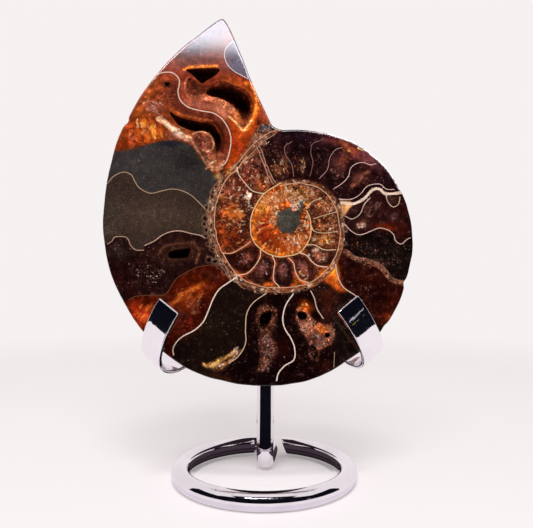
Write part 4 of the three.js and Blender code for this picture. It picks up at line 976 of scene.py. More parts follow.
def build_fossil():
    rim, notch_at = outline()
    n = len(rim)
    # small chips in the rim
    chips = to_face([(126.4, 121.0), (406.2, 283.0), (399.6, 187.6), (385, 327)])
    tangent = np.roll(rim, -1, 0) - np.roll(rim, 1, 0)
    tangent /= np.hypot(tangent[:, 0], tangent[:, 1])[:, None]
    normal = np.stack([tangent[:, 1], -tangent[:, 0]], 1)           # outward: the outline runs anticlockwise
    if ((rim - SPIRAL) * normal).sum() < 0:
        normal = -normal
    bite = np.zeros(n)
    for c, depth, wide in zip(chips, (0.55, 0.45, 0.4, 0.3), (0.7, 0.6, 0.6, 0.8)):
        bite += depth * np.exp(-((rim - c) ** 2).sum(1) / (2 * wide ** 2))
    bite += 0.10 * (fbm(rim, 0.7, 40) - 0.35)
    rim = rim - normal * np.clip(bite, 0, 1)[:, None]

    # points of the cut face
    tree = KDTree(n * 4)
    dense = resample(rim, 0.125, True)
    tree = KDTree(len(dense))
    for i, q in enumerate(dense):
        tree.insert((q[0], q[1], 0), i)
    tree.balance()

    def clear_of_rim(pts, gap):
        ok = inside(pts, rim)
        keep = [k for k in np.nonzero(ok)[0] if tree.find((pts[k, 0], pts[k, 1], 0))[2] >= gap]
        return pts[keep]

    groups = []
    for d in (0.06, 0.18, 0.34, 0.56):
        groups.append(clear_of_rim(rim - normal * d, d * 0.9))
    fixed = []
    for line, half, _ in SEPTA:
        fixed.append(resample(to_face(curve(line, 6)), 0.34))
    for poly, _, _ in VUGS:
        ring = to_face(curve(poly, 5, True))
        fixed.append(resample(ring, 0.34, True))
    fixed = clear_of_rim(np.vstack(fixed), 0.72)
    # drop points that crowd each other
    kept = []
    bins = {}
    for q in fixed:
        key = (int(math.floor(q[0] / 0.2)), int(math.floor(q[1] / 0.2)))
        close = False
        for dx in (-1, 0, 1):
            for dy in (-1, 0, 1):
                for o in bins.get((key[0] + dx, key[1] + dy), ()):
                    if (o[0] - q[0]) ** 2 + (o[1] - q[1]) ** 2 < 0.17 ** 2:
                        close = True
        if not close:
            bins.setdefault(key, []).append(q)
            kept.append(q)
    fixed = np.array(kept)
    step = 0.345
    lo, hi = rim.min(0), rim.max(0)
    ys = np.arange(lo[1], hi[1], step * 0.866)
    grid = []
    for j, y in enumerate(ys):
        xs = np.arange(lo[0], hi[0], step) + (step / 2 if j % 2 else 0)
        grid.append(np.stack([xs, np.full(len(xs), y)], 1))
    grid = np.vstack(grid)
    grid = grid + 0.06 * np.stack([vnoise(grid, 5.3, 71) - 0.5, vnoise(grid, 5.3, 72) - 0.5], 1)
    grid = clear_of_rim(grid, 0.74)
    tree2 = KDTree(len(fixed))
    for i, q in enumerate(fixed):
        tree2.insert((q[0], q[1], 0), i)
    tree2.balance()
    grid = np.array([q for q in grid if tree2.find((q[0], q[1], 0))[2] > 0.2])
    allp = np.vstack([rim] + groups + [fixed, grid])
    out = delaunay_2d_cdt([Vector(q) for q in allp], [(i, (i + 1) % n) for i in range(n)], [], 1, 1e-7)
    uv = np.array([tuple(v) for v in out[0]])
    tris = [tuple(f) for f in out[2]]
    where = {}
    for i, src in enumerate(out[3]):
        for s in src:
            where[s] = i
    ring0 = [where[i] for i in range(n)]

    # distance to the rim, for the broken edge of the polish
    gap = np.array([tree.find((q[0], q[1], 0))[2] for q in uv])
    gap[ring0] = 0.0
    b = 0.5
    w = b * (1 - np.sqrt(np.clip(1 - np.clip(1 - gap / b, 0, 1) ** 2, 0, 1))) * 0.85

    px = to_px(uv)
    c = paint(px)

    # the inner whorls are redder than the rest
    ring_r = np.hypot(px[:, 0] - 278, px[:, 1] - 228)
    core = np.hypot(px[:, 0] - HEART[0], px[:, 1] - HEART[1])
    ruddy = smooth((68 - ring_r) / 8) * smooth((core - 12) / 3)
    c.col *= 1 - ruddy[:, None] * np.array([0.0, 0.09, 0.12])

    # painted highlight: the edge is painted pale at the tip and along the upper right, where the polished rim catches
    # the light
    lit = smooth((0.62 - gap) / 0.3) * smooth((px[:, 0] - 312) / 30) * smooth((196 - px[:, 1]) / 24)
    painted_rim_highlight = smooth((0.75 - gap) / 0.45) * np.maximum(0.4 * smooth((105 - px[:, 1]) / 30),
                                                    0.8 * smooth((px[:, 0] - 296) / 26) * smooth((196 - px[:, 1]) / 24))
    c.col += (np.array([214.0, 200.0, 208.0]) - c.col) * (painted_rim_highlight * (0.5 + 0.5 * fbm(px, 0.25, 33)))[:, None]
    # painted highlight: near white along the upper right rim (lit)
    c.col += (np.array([255.0, 248.0, 252.0]) - c.col) * lit[:, None]

    # hollows
    hollow = np.zeros(len(uv))
    lively = np.zeros(len(uv))
    hollow_shade = np.zeros(len(uv))
    uneven = fbm(px, 0.22, 35) + 0.5 * fbm(px, 0.9, 36)
    for k, (poly, depth, wide) in enumerate(VUGS):
        ring = curve(poly, 5, True)
        idx = c.near(ring, 2.0)
        sd = signed(px[idx], ring)
        t = np.clip(-sd / wide, 0, 1)
        hollow[idx] += depth * np.sqrt(np.clip(1 - (1 - t) ** 2, 0, 1))
        m = smooth((0.6 - sd) / 1.6)
        lively[idx] = np.maximum(lively[idx], m * (1.0 if k < 4 else 0.35))
        c.f["vug"][idx] = np.maximum(c.f["vug"][idx], m)
        # painted shade inside each hollow: where it starts and how far in it deepens
        reach, late = {0: (5.0, 0.2), 1: (60.0, 2.0), 2: (6.5, 0.0), 3: (5.0, 0.4)}.get(k, (1.3 * wide, 0.2))
        hollow_shade[idx] = np.maximum(hollow_shade[idx], smooth((-sd - late + (5.0 if k < 4 else 1.5) * (uneven[idx] - 0.75)) / reach))
    f1, f2, ident = cells(uv, 1.25, 11)
    g1, g2, _ = cells(uv, 2.6, 12)
    lining = np.minimum(1.0, hollow / 0.8)
    crystal = (0.9 - f1) * 0.75 + (0.8 - g1) * 0.3
    dig = np.maximum(hollow - lining * crystal * (0.55 + 0.5 * ident), 0.0)
    # the hollows slant: they run in and away from the middle of the picture
    sight = face_points(uv, np.zeros(len(uv))) - EYE
    slant = np.stack([sight @ RIGHT, sight @ UP], 1) / (sight @ BACK)[:, None]
    bored = uv + 0.9 * dig[:, None] * slant
    w = w + dig
    # lining: red-brown druse near the rim, painted darker in the small hollows, with painted shade going near black
    # towards the bottom
    dark = np.array([40.0, 13.0, 9.0])
    grit = hash01(np.floor(uv[:, 0] * 3.1), np.floor(uv[:, 1] * 3.1), 77)
    fine = hash01(np.arange(len(uv)), np.zeros(len(uv)), 78)
    wallc = np.array([118.0, 58.0, 38.0]) * (0.3 + 0.5 * ident + 0.5 * grit + 0.6 * fine ** 2)[:, None]
    wallc = wallc * (0.15 + 0.85 * lively)[:, None]
    edge = smooth(hollow / 0.5) * np.minimum(1, c.f["vug"])
    c.col += (wallc - c.col) * (edge * 0.85)[:, None]
    # painted shade: darker deeper inside the hollow
    c.col += (dark - c.col) * (edge * hollow_shade)[:, None]
    # druse on the walls of the large hollow: tan below, red-brown to the left
    for x, y, rx, ry, ang, rgb, amt in ((206, 98.5, 18, 4.4, 5, (196, 118, 88), 0.95), (228, 107, 12, 5.4, 36, (212, 136, 98), 0.95),
                                        (238, 117, 7, 4.2, 48, (222, 136, 84), 0.9), (197, 90, 9, 8, 0, (104, 48, 35), 0.85),
                                        (204, 84, 8, 4, -20, (130, 66, 46), 0.85), (242, 116, 5, 7, 40, (160, 80, 40), 0.6),
                                        (202, 79, 6, 2.6, -30, (140, 68, 42), 0.6), (203, 132, 10, 2.4, 4, (190, 116, 84), 0.7)):
        idx = c.near([(x - 2 * rx, y - 2 * rx), (x + 2 * rx, y + 2 * rx)], 2)
        q = px[idx] - (x, y)
        ca, sa = math.cos(math.radians(ang)), math.sin(math.radians(ang))
        d = ((q[:, 0] * ca + q[:, 1] * sa) / rx) ** 2 + ((q[:, 1] * ca - q[:, 0] * sa) / ry) ** 2
        mm = amt * np.exp(-d ** 1.4) * (0.45 + 0.55 * fine[idx]) * np.minimum(1, c.f["vug"][idx])
        c.col[idx] += (np.array(rgb) - c.col[idx]) * mm[:, None]
        c.f["cry"][idx] = np.maximum(c.f["cry"][idx], 0.7 * mm)

    # a little more contrast and colour overall
    lin = linear(c.col)
    lum = lin @ np.array([0.2126, 0.7152, 0.0722])
    lin = lin * np.minimum(1.06, ((lum + 0.004) / 0.075) ** 0.24)[:, None]
    lum = lin @ np.array([0.2126, 0.7152, 0.0722])
    lin = np.clip(lum[:, None] + (lin - lum[:, None]) * 1.1, 0.05 * lum[:, None], 1.0)

    # crystals, as a field: distance over half width, with the colour of the nearest
    mark = np.full(len(uv), 6.0)
    markc = lin.copy()
    for line, half, rgb, amt in strew():
        idx = c.near(line, 4)
        if not len(idx):
            continue
        d = line_distance(px[idx], line) / half
        nearer = d < mark[idx]
        sel = idx[nearer]
        mark[sel] = d[nearer]
        markc[sel] = lin[sel] + (linear(rgb) - lin[sel]) * amt
    mark = np.where(c.f["vug"] > 0.8, 6.0, mark)

    # septa as a field: distance over half width, with the colour of the nearest
    sep = np.full(len(uv), 6.0)
    sepc = np.tile(np.array(CREAM, float), (len(uv), 1))
    for line, half, rgb in SEPTA:
        ln = curve(line, 6) if len(line) < 30 else np.asarray(line)
        idx = c.near(ln, 8)
        d = line_distance(px[idx], ln) / (half * 0.62)
        nearer = d < sep[idx]
        sep[idx] = np.where(nearer, d, sep[idx])
        sepc[idx[nearer]] = rgb
    sep = np.where(c.f["vug"] > 0.9, 6.0, sep)

    # back of the shell: rays from the middle of the coil
    rel = rim - SPIRAL
    ang = np.unwrap(np.arctan2(rel[:, 1], rel[:, 0]))
    rad = np.hypot(rel[:, 0], rel[:, 1])

    def flank(s):
        low = 0.62 + 0.38 * np.sin(np.clip(s / 0.32, 0, 1) * np.pi / 2)
        high = np.sqrt(np.clip(1 - (np.clip(s - 0.32, 0, 1) / 0.68) ** 2.2, 0, 1))
        return np.where((s < 0) | (s > 1), 0.0, np.where(s < 0.32, low, high))

    def depth(q, R):
        d = np.full_like(q, 0.8)
        for k in range(6):
            o = R / 2.25 ** k
            s = (q - 0.24 * o) / (0.76 * o)
            d = np.maximum(d, 0.24 * o * flank(s))
        return d

    rows = np.concatenate([1 - np.array([0.0, 0.004, 0.011, 0.02, 0.032, 0.047, 0.065, 0.087, 0.113]), np.linspace(0.862, 0.05, 31)])
    past = np.arange(n) > notch_at
    mix = np.zeros(n)
    i0 = notch_at
    span = np.hypot(*(rim - rim[i0]).T)
    mix[past] = smooth(np.clip(span[past] / 4.5, 0, 1))
    small = np.where(past, rad[i0], rad)
    back_uv, back_w, ribs, sut, high = [], [], [], [], []
    turn = ang - ang[0]
    for part in rows:
        q = part * rad
        d = depth(q, small) * (1 - mix) + depth(q, np.full(n, 64.45)) * mix
        # low ribs that sweep forward towards the rim
        R = np.where(past, 64.45, rad)
        s = np.clip((q / R - 0.24) / 0.76, 0, 1)
        phase = 40 * turn + 5.0 * np.sin(np.pi * (s - 0.15)) + 3.0 * s ** 2
        rib = (0.5 - 0.5 * np.cos(phase)) ** 1.5
        amp = 0.75 * smooth(s / 0.2) * (0.35 + 0.65 * smooth((1 - s) / 0.5)) * smooth((1 - s) / 0.08)
        d = d - amp * (1 - rib) * np.minimum(1, d / 4)
        back_uv.append(SPIRAL + np.stack([q * np.cos(ang), q * np.sin(ang)], 1))
        back_w.append(d)
        ribs.append(rib)
        sut.append(24 * turn)
        high.append(np.where(q < 0.24 * R, 0.0, s))
    steps = 5
    w_rim = w[ring0]
    side_uv, side_w = [], []
    for k in range(1, steps):
        t = k / steps
        side_w.append(w_rim + (back_w[0] - w_rim) * t)
        rough = np.where(past, 0.35 * (fbm(np.stack([span * 1.0, side_w[-1]], 1), 0.8, 60) - 0.2), 0.0) * math.sin(math.pi * t)
        side_uv.append(rim - normal * np.clip(rough, 0, 1)[:, None])
    strips_uv = side_uv + back_uv
    strips_w = side_w + back_w
    zero = np.zeros(n)
    extra_rib = [zero] * (steps - 1) + ribs
    extra_sut = [sut[0]] * (steps - 1) + sut
    extra_high = [zero + 1.0] * (steps - 1) + high
    wall = smooth(np.where(past, span, 0.0) / 1.5)

    nf = len(uv)
    uv_all = np.vstack([bored] + strips_uv + [SPIRAL[None]])
    w_all = np.concatenate([w] + strips_w + [np.array([1.6])])
    pts = row(face_points(uv_all, w_all))
    faces = list(tris)
    inner = hollow > 0.02
    mat_of = [2 if inner[list(t)].any() else 0 for t in tris]
    prev = np.array(ring0)
    for k in range(len(strips_uv)):
        cur = nf + k * n + np.arange(n)
        for i in range(n):
            j = (i + 1) % n
            faces.append((prev[j], prev[i], cur[i], cur[j]))
            mat_of.append(1)
        prev = cur
    last = len(uv_all) - 1
    for i in range(n):
        faces.append((prev[(i + 1) % n], prev[i], last))
        mat_of.append(1)
    ob = mesh_piece("fossil_half", pts, faces)
    me = ob.data
    me.polygons.foreach_set("material_index", np.array(mat_of, np.int32))

    # the polish stops sharply at the lip of each hollow
    loop_edge = np.empty(len(me.loops), np.int32)
    me.loops.foreach_get("edge_index", loop_edge)
    sides = np.empty(len(me.polygons), np.int32)
    me.polygons.foreach_get("loop_total", sides)
    kind = np.repeat(np.array(mat_of), sides)
    most, least = np.full(len(me.edges), -1), np.full(len(me.edges), 9)
    np.maximum.at(most, loop_edge, kind)
    np.minimum.at(least, loop_edge, kind)
    me.edges.foreach_set("use_edge_sharp", (most == 2) & (least == 0))

    def put(name, values, pad=0.0):
        a = me.attributes.new(name, "FLOAT", "POINT")
        full = np.full(len(pts), pad, np.float32)
        full[:len(values)] = values
        a.data.foreach_set("value", full)

    def put_colour(name, rgb):
        a = me.attributes.new(name, "FLOAT_COLOR", "POINT")
        full = np.ones((len(pts), 4), np.float32)
        full[:, :3] = 0.1
        full[:len(rgb), :3] = rgb
        a.data.foreach_set("color", full.ravel())

    put_colour("base", lin)
    put_colour("sepc", linear(sepc))
    put_colour("markc", markc)
    put("sep", sep, 6.0)
    put("mark", mark, 6.0)
    for k in ("cry", "spk", "vug", "mot", "fib"):
        put(k, c.f[k])
    put("rib", np.concatenate([np.zeros(nf)] + extra_rib))
    put("sut", np.concatenate([np.zeros(nf)] + extra_sut))
    put("high", np.concatenate([np.ones(nf)] + extra_high))
    edge_on = np.minimum(smooth(np.arange(n) / 6.0), smooth((n - 1 - np.arange(n)) / 6.0))
    put("wall", np.concatenate([np.zeros(nf)] + [wall] * (steps - 1) + [wall] + [zero] * (len(back_w) - 1)))
    put("seam", np.concatenate([np.zeros(nf)] + [edge_on] * len(strips_uv)))
    me.update()
    return ob


# ---- materials -----------------------------------------------------------------------
class Nodes:
    def __init__(self, name):
        self.m = bpy.data.materials.new(name)
        self.m.use_nodes = True
        self.t = self.m.node_tree
        self.t.nodes.clear()
        self.out = self.add("ShaderNodeOutputMaterial")
        self.b = self.add("ShaderNodeBsdfPrincipled")
        self.t.links.new(self.b.outputs[0], self.out.inputs["Surface"])

    def add(self, kind, **props):
        n = self.t.nodes.new(kind)
        for k, v in props.items():
            setattr(n, k, v)
        return n

    def put(self, socket, value):
        if isinstance(value, bpy.types.NodeSocket):
            self.t.links.new(value, socket)
        elif value is not None:
            socket.default_value = value

    def mm(self):
        tc = self.add("ShaderNodeTexCoord")
        return self.scale(tc.outputs["Object"], 1000.0)

    def scale(self, v, k):
        n = self.add("ShaderNodeVectorMath", operation="SCALE")
        self.put(n.inputs[0], v)
        self.put(n.inputs[3], k)
        return n.outputs[0]

    def vadd(self, a, b):
        n = self.add("ShaderNodeVectorMath", operation="ADD")
        self.put(n.inputs[0], a)
        self.put(n.inputs[1], b)
        return n.outputs[0]

    def math(self, op, a, b=None, c=None, clamp=False):
        n = self.add("ShaderNodeMath", operation=op, use_clamp=clamp)
        for s, v in zip(n.inputs, (a, b, c)):
            self.put(s, v)
        return n.outputs[0]

    def ramp(self, x, lo, hi, a=0.0, b=1.0, kind="SMOOTHSTEP"):
        n = self.add("ShaderNodeMapRange", interpolation_type=kind)
        for s, v in zip(n.inputs, (x, lo, hi, a, b)):
            self.put(s, v)
        return n.outputs[0]

    def mix(self, f, a, b, blend="MIX"):
        n = self.add("ShaderNodeMix", data_type="RGBA", blend_type=blend)
        self.put(n.inputs[0], f)
        self.put(n.inputs[6], a)
        self.put(n.inputs[7], b)
        return n.outputs[2]

    def attr(self, name, colour=False):
        n = self.add("ShaderNodeAttribute", attribute_name=name)
        return n.outputs["Color" if colour else "Fac"]

    def noise(self, v, scale, detail=4.0, rough=0.55):
        n = self.add("ShaderNodeTexNoise")
        self.put(n.inputs["Vector"], v)
        n.inputs["Scale"].default_value = scale
        n.inputs["Detail"].default_value = detail
        n.inputs["Roughness"].default_value = rough
        return n

    def voronoi(self, v, scale, feature="F1"):
        n = self.add("ShaderNodeTexVoronoi", feature=feature)
        self.put(n.inputs["Vector"], v)
        n.inputs["Scale"].default_value = scale
        return n

    def sockets(self, **values):
        for k, v in values.items():
            self.put(self.b.inputs[k.replace("_", " ")], v)

    def bump(self, height, strength, distance, after=None):
        n = self.add("ShaderNodeBump")
        self.put(n.inputs["Height"], height)
        self.put(n.inputs["Strength"], strength)
        self.put(n.inputs["Distance"], distance)
        if after is not None:
            self.put(n.inputs["Normal"], after)
        return n.outputs[0]


def rgba(r, g, b):
    return (*[float(x) for x in linear((r, g, b))], 1.0)


PALE = rgba(246, 241, 241)
heart = [float(x) for x in row(face_points(to_face([HEART]), np.zeros(1)))[0]]


def face_material(name="fossil_face", ior=1.54, gloss=0.5, raw=0.0):
    n = Nodes(name)
    p = n.mm()
    base, sepc, markc = n.attr("base", True), n.attr("sepc", True), n.attr("markc", True)
    sep, mark, cry, spk, vug, mot, fib = (n.attr(k) for k in ("sep", "mark", "cry", "spk", "vug", "mot", "fib"))
    n1 = n.noise(p, 0.55, 7.0, 0.62).outputs["Fac"]
    n2 = n.noise(p, 3.2, 5.0, 0.6).outputs["Fac"]
    n3 = n.noise(p, 6.5, 2.0, 0.5).outputs["Fac"]
    warp = n.scale(n.noise(p, 0.9, 3.0).outputs["Color"], 0.7)
    warped = n.vadd(p, warp)
    v1 = n.voronoi(warped, 0.95)
    v2 = n.voronoi(warped, 2.2)
    v2.distance = "MANHATTAN"
    v3 = n.voronoi(p, 3.4)
    e1 = n.voronoi(warped, 0.95, "DISTANCE_TO_EDGE").outputs["Distance"]

    def part(colour, k):
        q = n.add("ShaderNodeSeparateColor")
        n.put(q.inputs[0], colour)
        return q.outputs[k]

    # cloudy mottling, and a fine grain all over
    k1 = n.ramp(n1, 0.28, 0.72, -1.0, 1.0, "LINEAR")
    c = n.scale(base, n.math("POWER", 2.9, n.math("MULTIPLY", k1, mot)))
    c = n.scale(c, n.math("POWER", 2.0, n.ramp(n2, 0.25, 0.75, -1.0, 1.0, "LINEAR")))
    # fibres that run out from the middle of the coil
    rel = n.vadd(p, tuple(-1000 * x for x in heart))
    xyz = n.add("ShaderNodeSeparateXYZ")
    n.put(xyz.inputs[0], rel)
    turn = n.math("ARCTAN2", xyz.outputs[2], xyz.outputs[0])
    far = n.add("ShaderNodeVectorMath", operation="LENGTH")
    n.put(far.inputs[0], rel)
    ray = n.add("ShaderNodeCombineXYZ")
    n.put(ray.inputs[0], n.math("MULTIPLY", turn, 9.0))
    n.put(ray.inputs[1], n.math("MULTIPLY", far.outputs["Value"], 0.32))
    fibre = n.noise(ray.outputs[0], 1.0, 5.0, 0.65).outputs["Fac"]
    c = n.scale(c, n.math("POWER", 3.4, n.math("MULTIPLY", n.ramp(fibre, 0.3, 0.7, -1.0, 1.0, "LINEAR"), fib)))
    # calcite grains, each with its own brightness
    g = n.math("ADD", n.math("MULTIPLY", part(v1.outputs["Color"], 0), 0.5), n.math("MULTIPLY", part(v2.outputs["Color"], 1), 0.5))
    c = n.scale(c, n.math("POWER", 80.0, n.math("MULTIPLY", n.math("SUBTRACT", g, 0.53), cry)))
    spark = n.math("MULTIPLY", n.ramp(part(v2.outputs["Color"], 2), 0.72, 0.98), n.math("MULTIPLY", mot, n.ramp(n1, 0.44, 0.66)))
    c = n.mix(spark, c, n.vadd(n.scale(c, 1.7), (0.042, 0.022, 0.019)))
    seam = n.math("MULTIPLY", n.ramp(e1, 0.0, 0.06, 1.0, 0.0), n.math("MULTIPLY", cry, n.ramp(n2, 0.42, 0.6, 0.0, 0.5)))
    c = n.mix(seam, c, n.vadd(n.scale(c, 1.6), (0.05, 0.03, 0.016)))
    glint = n.math("MULTIPLY", n.ramp(part(v3.outputs["Color"], 0), 0.88, 0.93), n.ramp(cry, 0.25, 0.9, 0.0, 0.85))
    c = n.mix(glint, c, n.vadd(n.scale(c, 2.2), (0.2, 0.14, 0.09)))
    pit = n.math("MULTIPLY", n.ramp(part(v3.outputs["Color"], 1), 0.80, 0.88), n.ramp(cry, 0.25, 0.9, 0.0, 0.85))
    c = n.mix(pit, c, n.scale(c, 0.15))
    # the larger crystals
    shake = n.math("MULTIPLY", n.math("SUBTRACT", n2, 0.5), 1.2)
    c = n.mix(n.ramp(n.math("ADD", mark, shake), 0.65, 1.35, 1.0, 0.0), c, markc)
    # fine mud grains in the grey fillings
    grain = n.math("MULTIPLY", n.ramp(n3, 0.32, 0.68, -1.0, 1.0, "LINEAR"), spk)
    c = n.scale(c, n.math("POWER", 1.7, grain))
    spot = n.math("MULTIPLY", n.ramp(n3, 0.64, 0.72), n.math("MULTIPLY", spk, 0.6))
    c = n.mix(spot, c, n.scale(c, 2.0))
    # dust and tiny scratches
    v4 = n.voronoi(p, 0.8)
    dust = n.math("MULTIPLY", n.ramp(v4.outputs["Distance"], 0.07, 0.13, 1.0, 0.0), n.ramp(part(v4.outputs["Color"], 1), 0.5, 0.9, 0.0, 0.6))
    c = n.mix(dust, c, rgba(150, 126, 110))
    # septa, each with a thin dark line along it
    rim = n.math("ADD", n.math("ADD", sep, shake), n.ramp(n1, 0.3, 0.7, -0.35, 0.35, "LINEAR"))
    halo = n.ramp(rim, 1.2, 3.6, 0.5, 0.0)
    c = n.mix(halo, c, n.scale(c, 0.3))
    line = n.ramp(rim, 0.6, 1.4, 1.0, 0.0)
    c = n.mix(line, c, n.scale(sepc, n.ramp(n1, 0.35, 0.65, 0.6, 1.08, "LINEAR")))
    n.sockets(Base_Color=c, IOR=ior)
    n.b.inputs["Specular IOR Level"].default_value = gloss
    rough = n.math("ADD", n.ramp(n1, 0.3, 0.7, 0.03, 0.062, "LINEAR"), n.math("MULTIPLY", vug, 0.6 * raw))
    n.sockets(Roughness=rough)
    h = n.math("ADD", n2, n.math("MULTIPLY", v2.outputs["Distance"], vug))
    n.sockets(Normal=n.bump(h, n.math("ADD", 0.018, n.math("MULTIPLY", vug, 0.5 * raw)), 0.0004))
    return n.m


def shell_material():
    n = Nodes("fossil_shell")
    p = n.mm()
    rib, sut, high, wall, seam = (n.attr(k) for k in ("rib", "sut", "high", "wall", "seam"))
    n1 = n.noise(p, 0.06, 5.0, 0.55).outputs["Fac"]
    n2 = n.noise(p, 0.35, 6.0, 0.62).outputs["Fac"]
    n3 = n.noise(p, 4.0, 4.0, 0.6).outputs["Fac"]
    n4 = n.noise(p, 1.3, 4.0, 0.6).outputs["Fac"]
    # brown shell, redder and paler by turns, with a faint sheen of green where mother-of-pearl is left
    c = n.mix(n.ramp(n1, 0.36, 0.64), rgba(104, 50, 30), rgba(150, 96, 60))
    c = n.mix(n.ramp(n2, 0.5, 0.72, 0.0, 0.7), c, rgba(84, 30, 20))
    c = n.mix(n.ramp(n.noise(p, 0.11, 4.0).outputs["Fac"], 0.55, 0.7, 0.0, 0.55), c, rgba(176, 132, 96))
    c = n.mix(n.ramp(n.noise(p, 0.17, 3.0).outputs["Fac"], 0.6, 0.72, 0.0, 0.4), c, rgba(96, 92, 62))
    c = n.scale(c, n.ramp(n3, 0.3, 0.7, 0.84, 1.14, "LINEAR"))
    # darker in the troughs between the ribs, paler on the crests
    c = n.scale(c, n.ramp(rib, 0.0, 1.0, 0.7, 1.12, "LINEAR"))
    # fine growth lines along the ribs
    sweep = n.math("ADD", n.math("MULTIPLY", n.math("SINE", n.math("MULTIPLY_ADD", high, math.pi, -0.15 * math.pi)), 5.0),
                   n.math("MULTIPLY", n.math("MULTIPLY", high, high), 3.0))
    growth = n.math("ADD", n.math("MULTIPLY", sut, 40.0 / 24.0), sweep)
    growth = n.math("ADD", n.math("MULTIPLY", growth, 5.0), n.math("MULTIPLY", n2, 5.0))
    growth = n.math("MULTIPLY", n.math("SINE", growth), n.math("MULTIPLY", n.ramp(high, 0.05, 0.3), seam))
    c = n.scale(c, n.ramp(growth, -1.0, 1.0, 0.84, 1.1, "LINEAR"))
    c = n.mix(n.ramp(n4, 0.6, 0.75, 0.0, 0.45), c, rgba(70, 34, 22))
    # frilled sutures
    phase = sut
    for k, amp, off in ((3.2, 0.95, 0.0), (7.1, 0.5, 1.0), (15.0, 0.34, 0.4), (31.0, 0.2, 2.0)):
        phase = n.math("ADD", phase, n.math("MULTIPLY", n.math("SINE", n.math("MULTIPLY_ADD", high, 2 * math.pi * k, off)), amp))
    phase = n.math("ADD", phase, n.math("MULTIPLY", n.math("SUBTRACT", n4, 0.5), 0.7))
    line = n.ramp(n.math("COSINE", phase), 0.95, 0.985)
    line = n.math("MULTIPLY", line, n.math("MULTIPLY", n.ramp(high, 0.02, 0.12), n.ramp(high, 0.96, 0.9)))
    line = n.math("MULTIPLY", line, seam)
    c = n.mix(n.math("MULTIPLY", line, 0.8), c, rgba(46, 24, 16))
    # broken wall of the mouth: grey-brown filling with grains of calcite
    v = n.voronoi(n.vadd(p, n.scale(n.noise(p, 0.8, 4.0).outputs["Color"], 2.2)), 1.5)
    part = n.add("ShaderNodeSeparateColor")
    n.put(part.inputs[0], v.outputs["Color"])
    fillc = n.mix(n.ramp(n2, 0.4, 0.62), rgba(78, 44, 32), rgba(128, 74, 48))
    fillc = n.mix(n.ramp(part.outputs[0], 0.82, 0.95, 0.0, 0.5), fillc, rgba(168, 126, 98))
    fillc = n.mix(n.ramp(part.outputs[1], 0.7, 0.9, 0.0, 0.6), fillc, rgba(48, 28, 22))
    fillc = n.scale(fillc, n.ramp(n3, 0.3, 0.7, 0.75, 1.25, "LINEAR"))
    c = n.mix(wall, c, fillc)
    rough = n.math("ADD", n.ramp(n2, 0.3, 0.7, 0.16, 0.3, "LINEAR"), n.math("MULTIPLY", wall, 0.3))
    n.sockets(Base_Color=c, IOR=1.55, Roughness=rough)
    h = n.math("SUBTRACT", n.math("ADD", n.math("MULTIPLY", n3, 0.5), n.math("MULTIPLY", v.outputs["Distance"], wall)), line)
    h = n.math("ADD", h, n.math("MULTIPLY", growth, 0.22))
    n.sockets(Normal=n.bump(h, 0.3, 0.0003))
    return n.m


def chrome_material(name, low, high):
    n = Nodes(name)
    p = n.mm()
    n1 = n.noise(p, 0.12, 3.0, 0.5).outputs["Fac"]
    n2 = n.noise(p, 2.2, 4.0, 0.6).outputs["Fac"]
    c = n.mix(n.ramp(n1, 0.35, 0.65), low, high)
    n.sockets(Base_Color=c, Metallic=1.0, Roughness=n.ramp(n2, 0.35, 0.75, 0.03, 0.085, "LINEAR"))
    n.sockets(Normal=n.bump(n1, 0.05, 0.002))
    return n.m


def braze_material():
    n = Nodes("braze")
    p = n.mm()
    n1 = n.noise(p, 1.4, 4.0, 0.6).outputs["Fac"]
    c = n.mix(n.ramp(n1, 0.35, 0.65), rgba(196, 192, 186), rgba(222, 220, 218))
    n.sockets(Base_Color=c, Metallic=1.0, Roughness=n.ramp(n1, 0.3, 0.7, 0.16, 0.32, "LINEAR"))
    n.sockets(Normal=n.bump(n1, 0.2, 0.0005))
    return n.m


def floor_material():
    n = Nodes("floor_paper")
    p = n.mm()
    n1 = n.noise(p, 0.006, 3.0, 0.5).outputs["Fac"]
    n2 = n.noise(p, 1.1, 4.0, 0.6).outputs["Fac"]
    c = n.mix(n.ramp(n1, 0.35, 0.65), rgba(246, 240, 239), rgba(249, 244, 243))
    n.sockets(Base_Color=c, Roughness=n.ramp(n2, 0.3, 0.7, 0.6, 0.75, "LINEAR"))
    n.sockets(Normal=n.bump(n2, 0.03, 0.0002))
    n.b.inputs["Specular IOR Level"].default_value = 0.2
    # painted light: the paper glows, from none near the object to 0.6 beyond about 46 mm, which lifts its shadows
    # there; far from the object the paper runs out into the pale background
    far = n.add("ShaderNodeVectorMath", operation="LENGTH")
    n.put(far.inputs[0], p)
    glow = n.add("ShaderNodeEmission")
    glow.inputs["Color"].default_value = PALE
    both = n.add("ShaderNodeMixShader")
    near = n.ramp(far.outputs["Value"], 12.0, 46.0, 0.0, 0.6)
    n.put(both.inputs[0], n.math("MAXIMUM", near, n.ramp(far.outputs["Value"], 60.0, 420.0, 0.3, 1.0)))
    n.put(both.inputs[1], n.b.outputs[0])
    n.put(both.inputs[2], glow.outputs[0])
    n.t.links.new(both.outputs[0], n.out.inputs["Surface"])
    return n.m


# ---- pieces --------------------------------------------------------------------------
chrome = chrome_material("bright_chrome", rgba(230, 224, 231), rgba(238, 232, 239))
plate = chrome_material("bright_plate", rgba(240, 234, 241), rgba(246, 241, 247))

pts, faces = rod_points()
rod = mesh_piece("bent_rod", row(pts), faces)
rod.data.materials.append(chrome)
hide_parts("ring_and_post")
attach(rod, "root")

for name, node, spec in (("strip_left", "left_arm", LEFT_STRIP), ("strip_right", "right_arm", RIGHT_STRIP)):
    pts, faces = strip_points(spec)
    ob = mesh_piece(name, row(pts), faces)
    ob.data.materials.append(plate)
    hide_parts(node)
    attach(ob, "root")

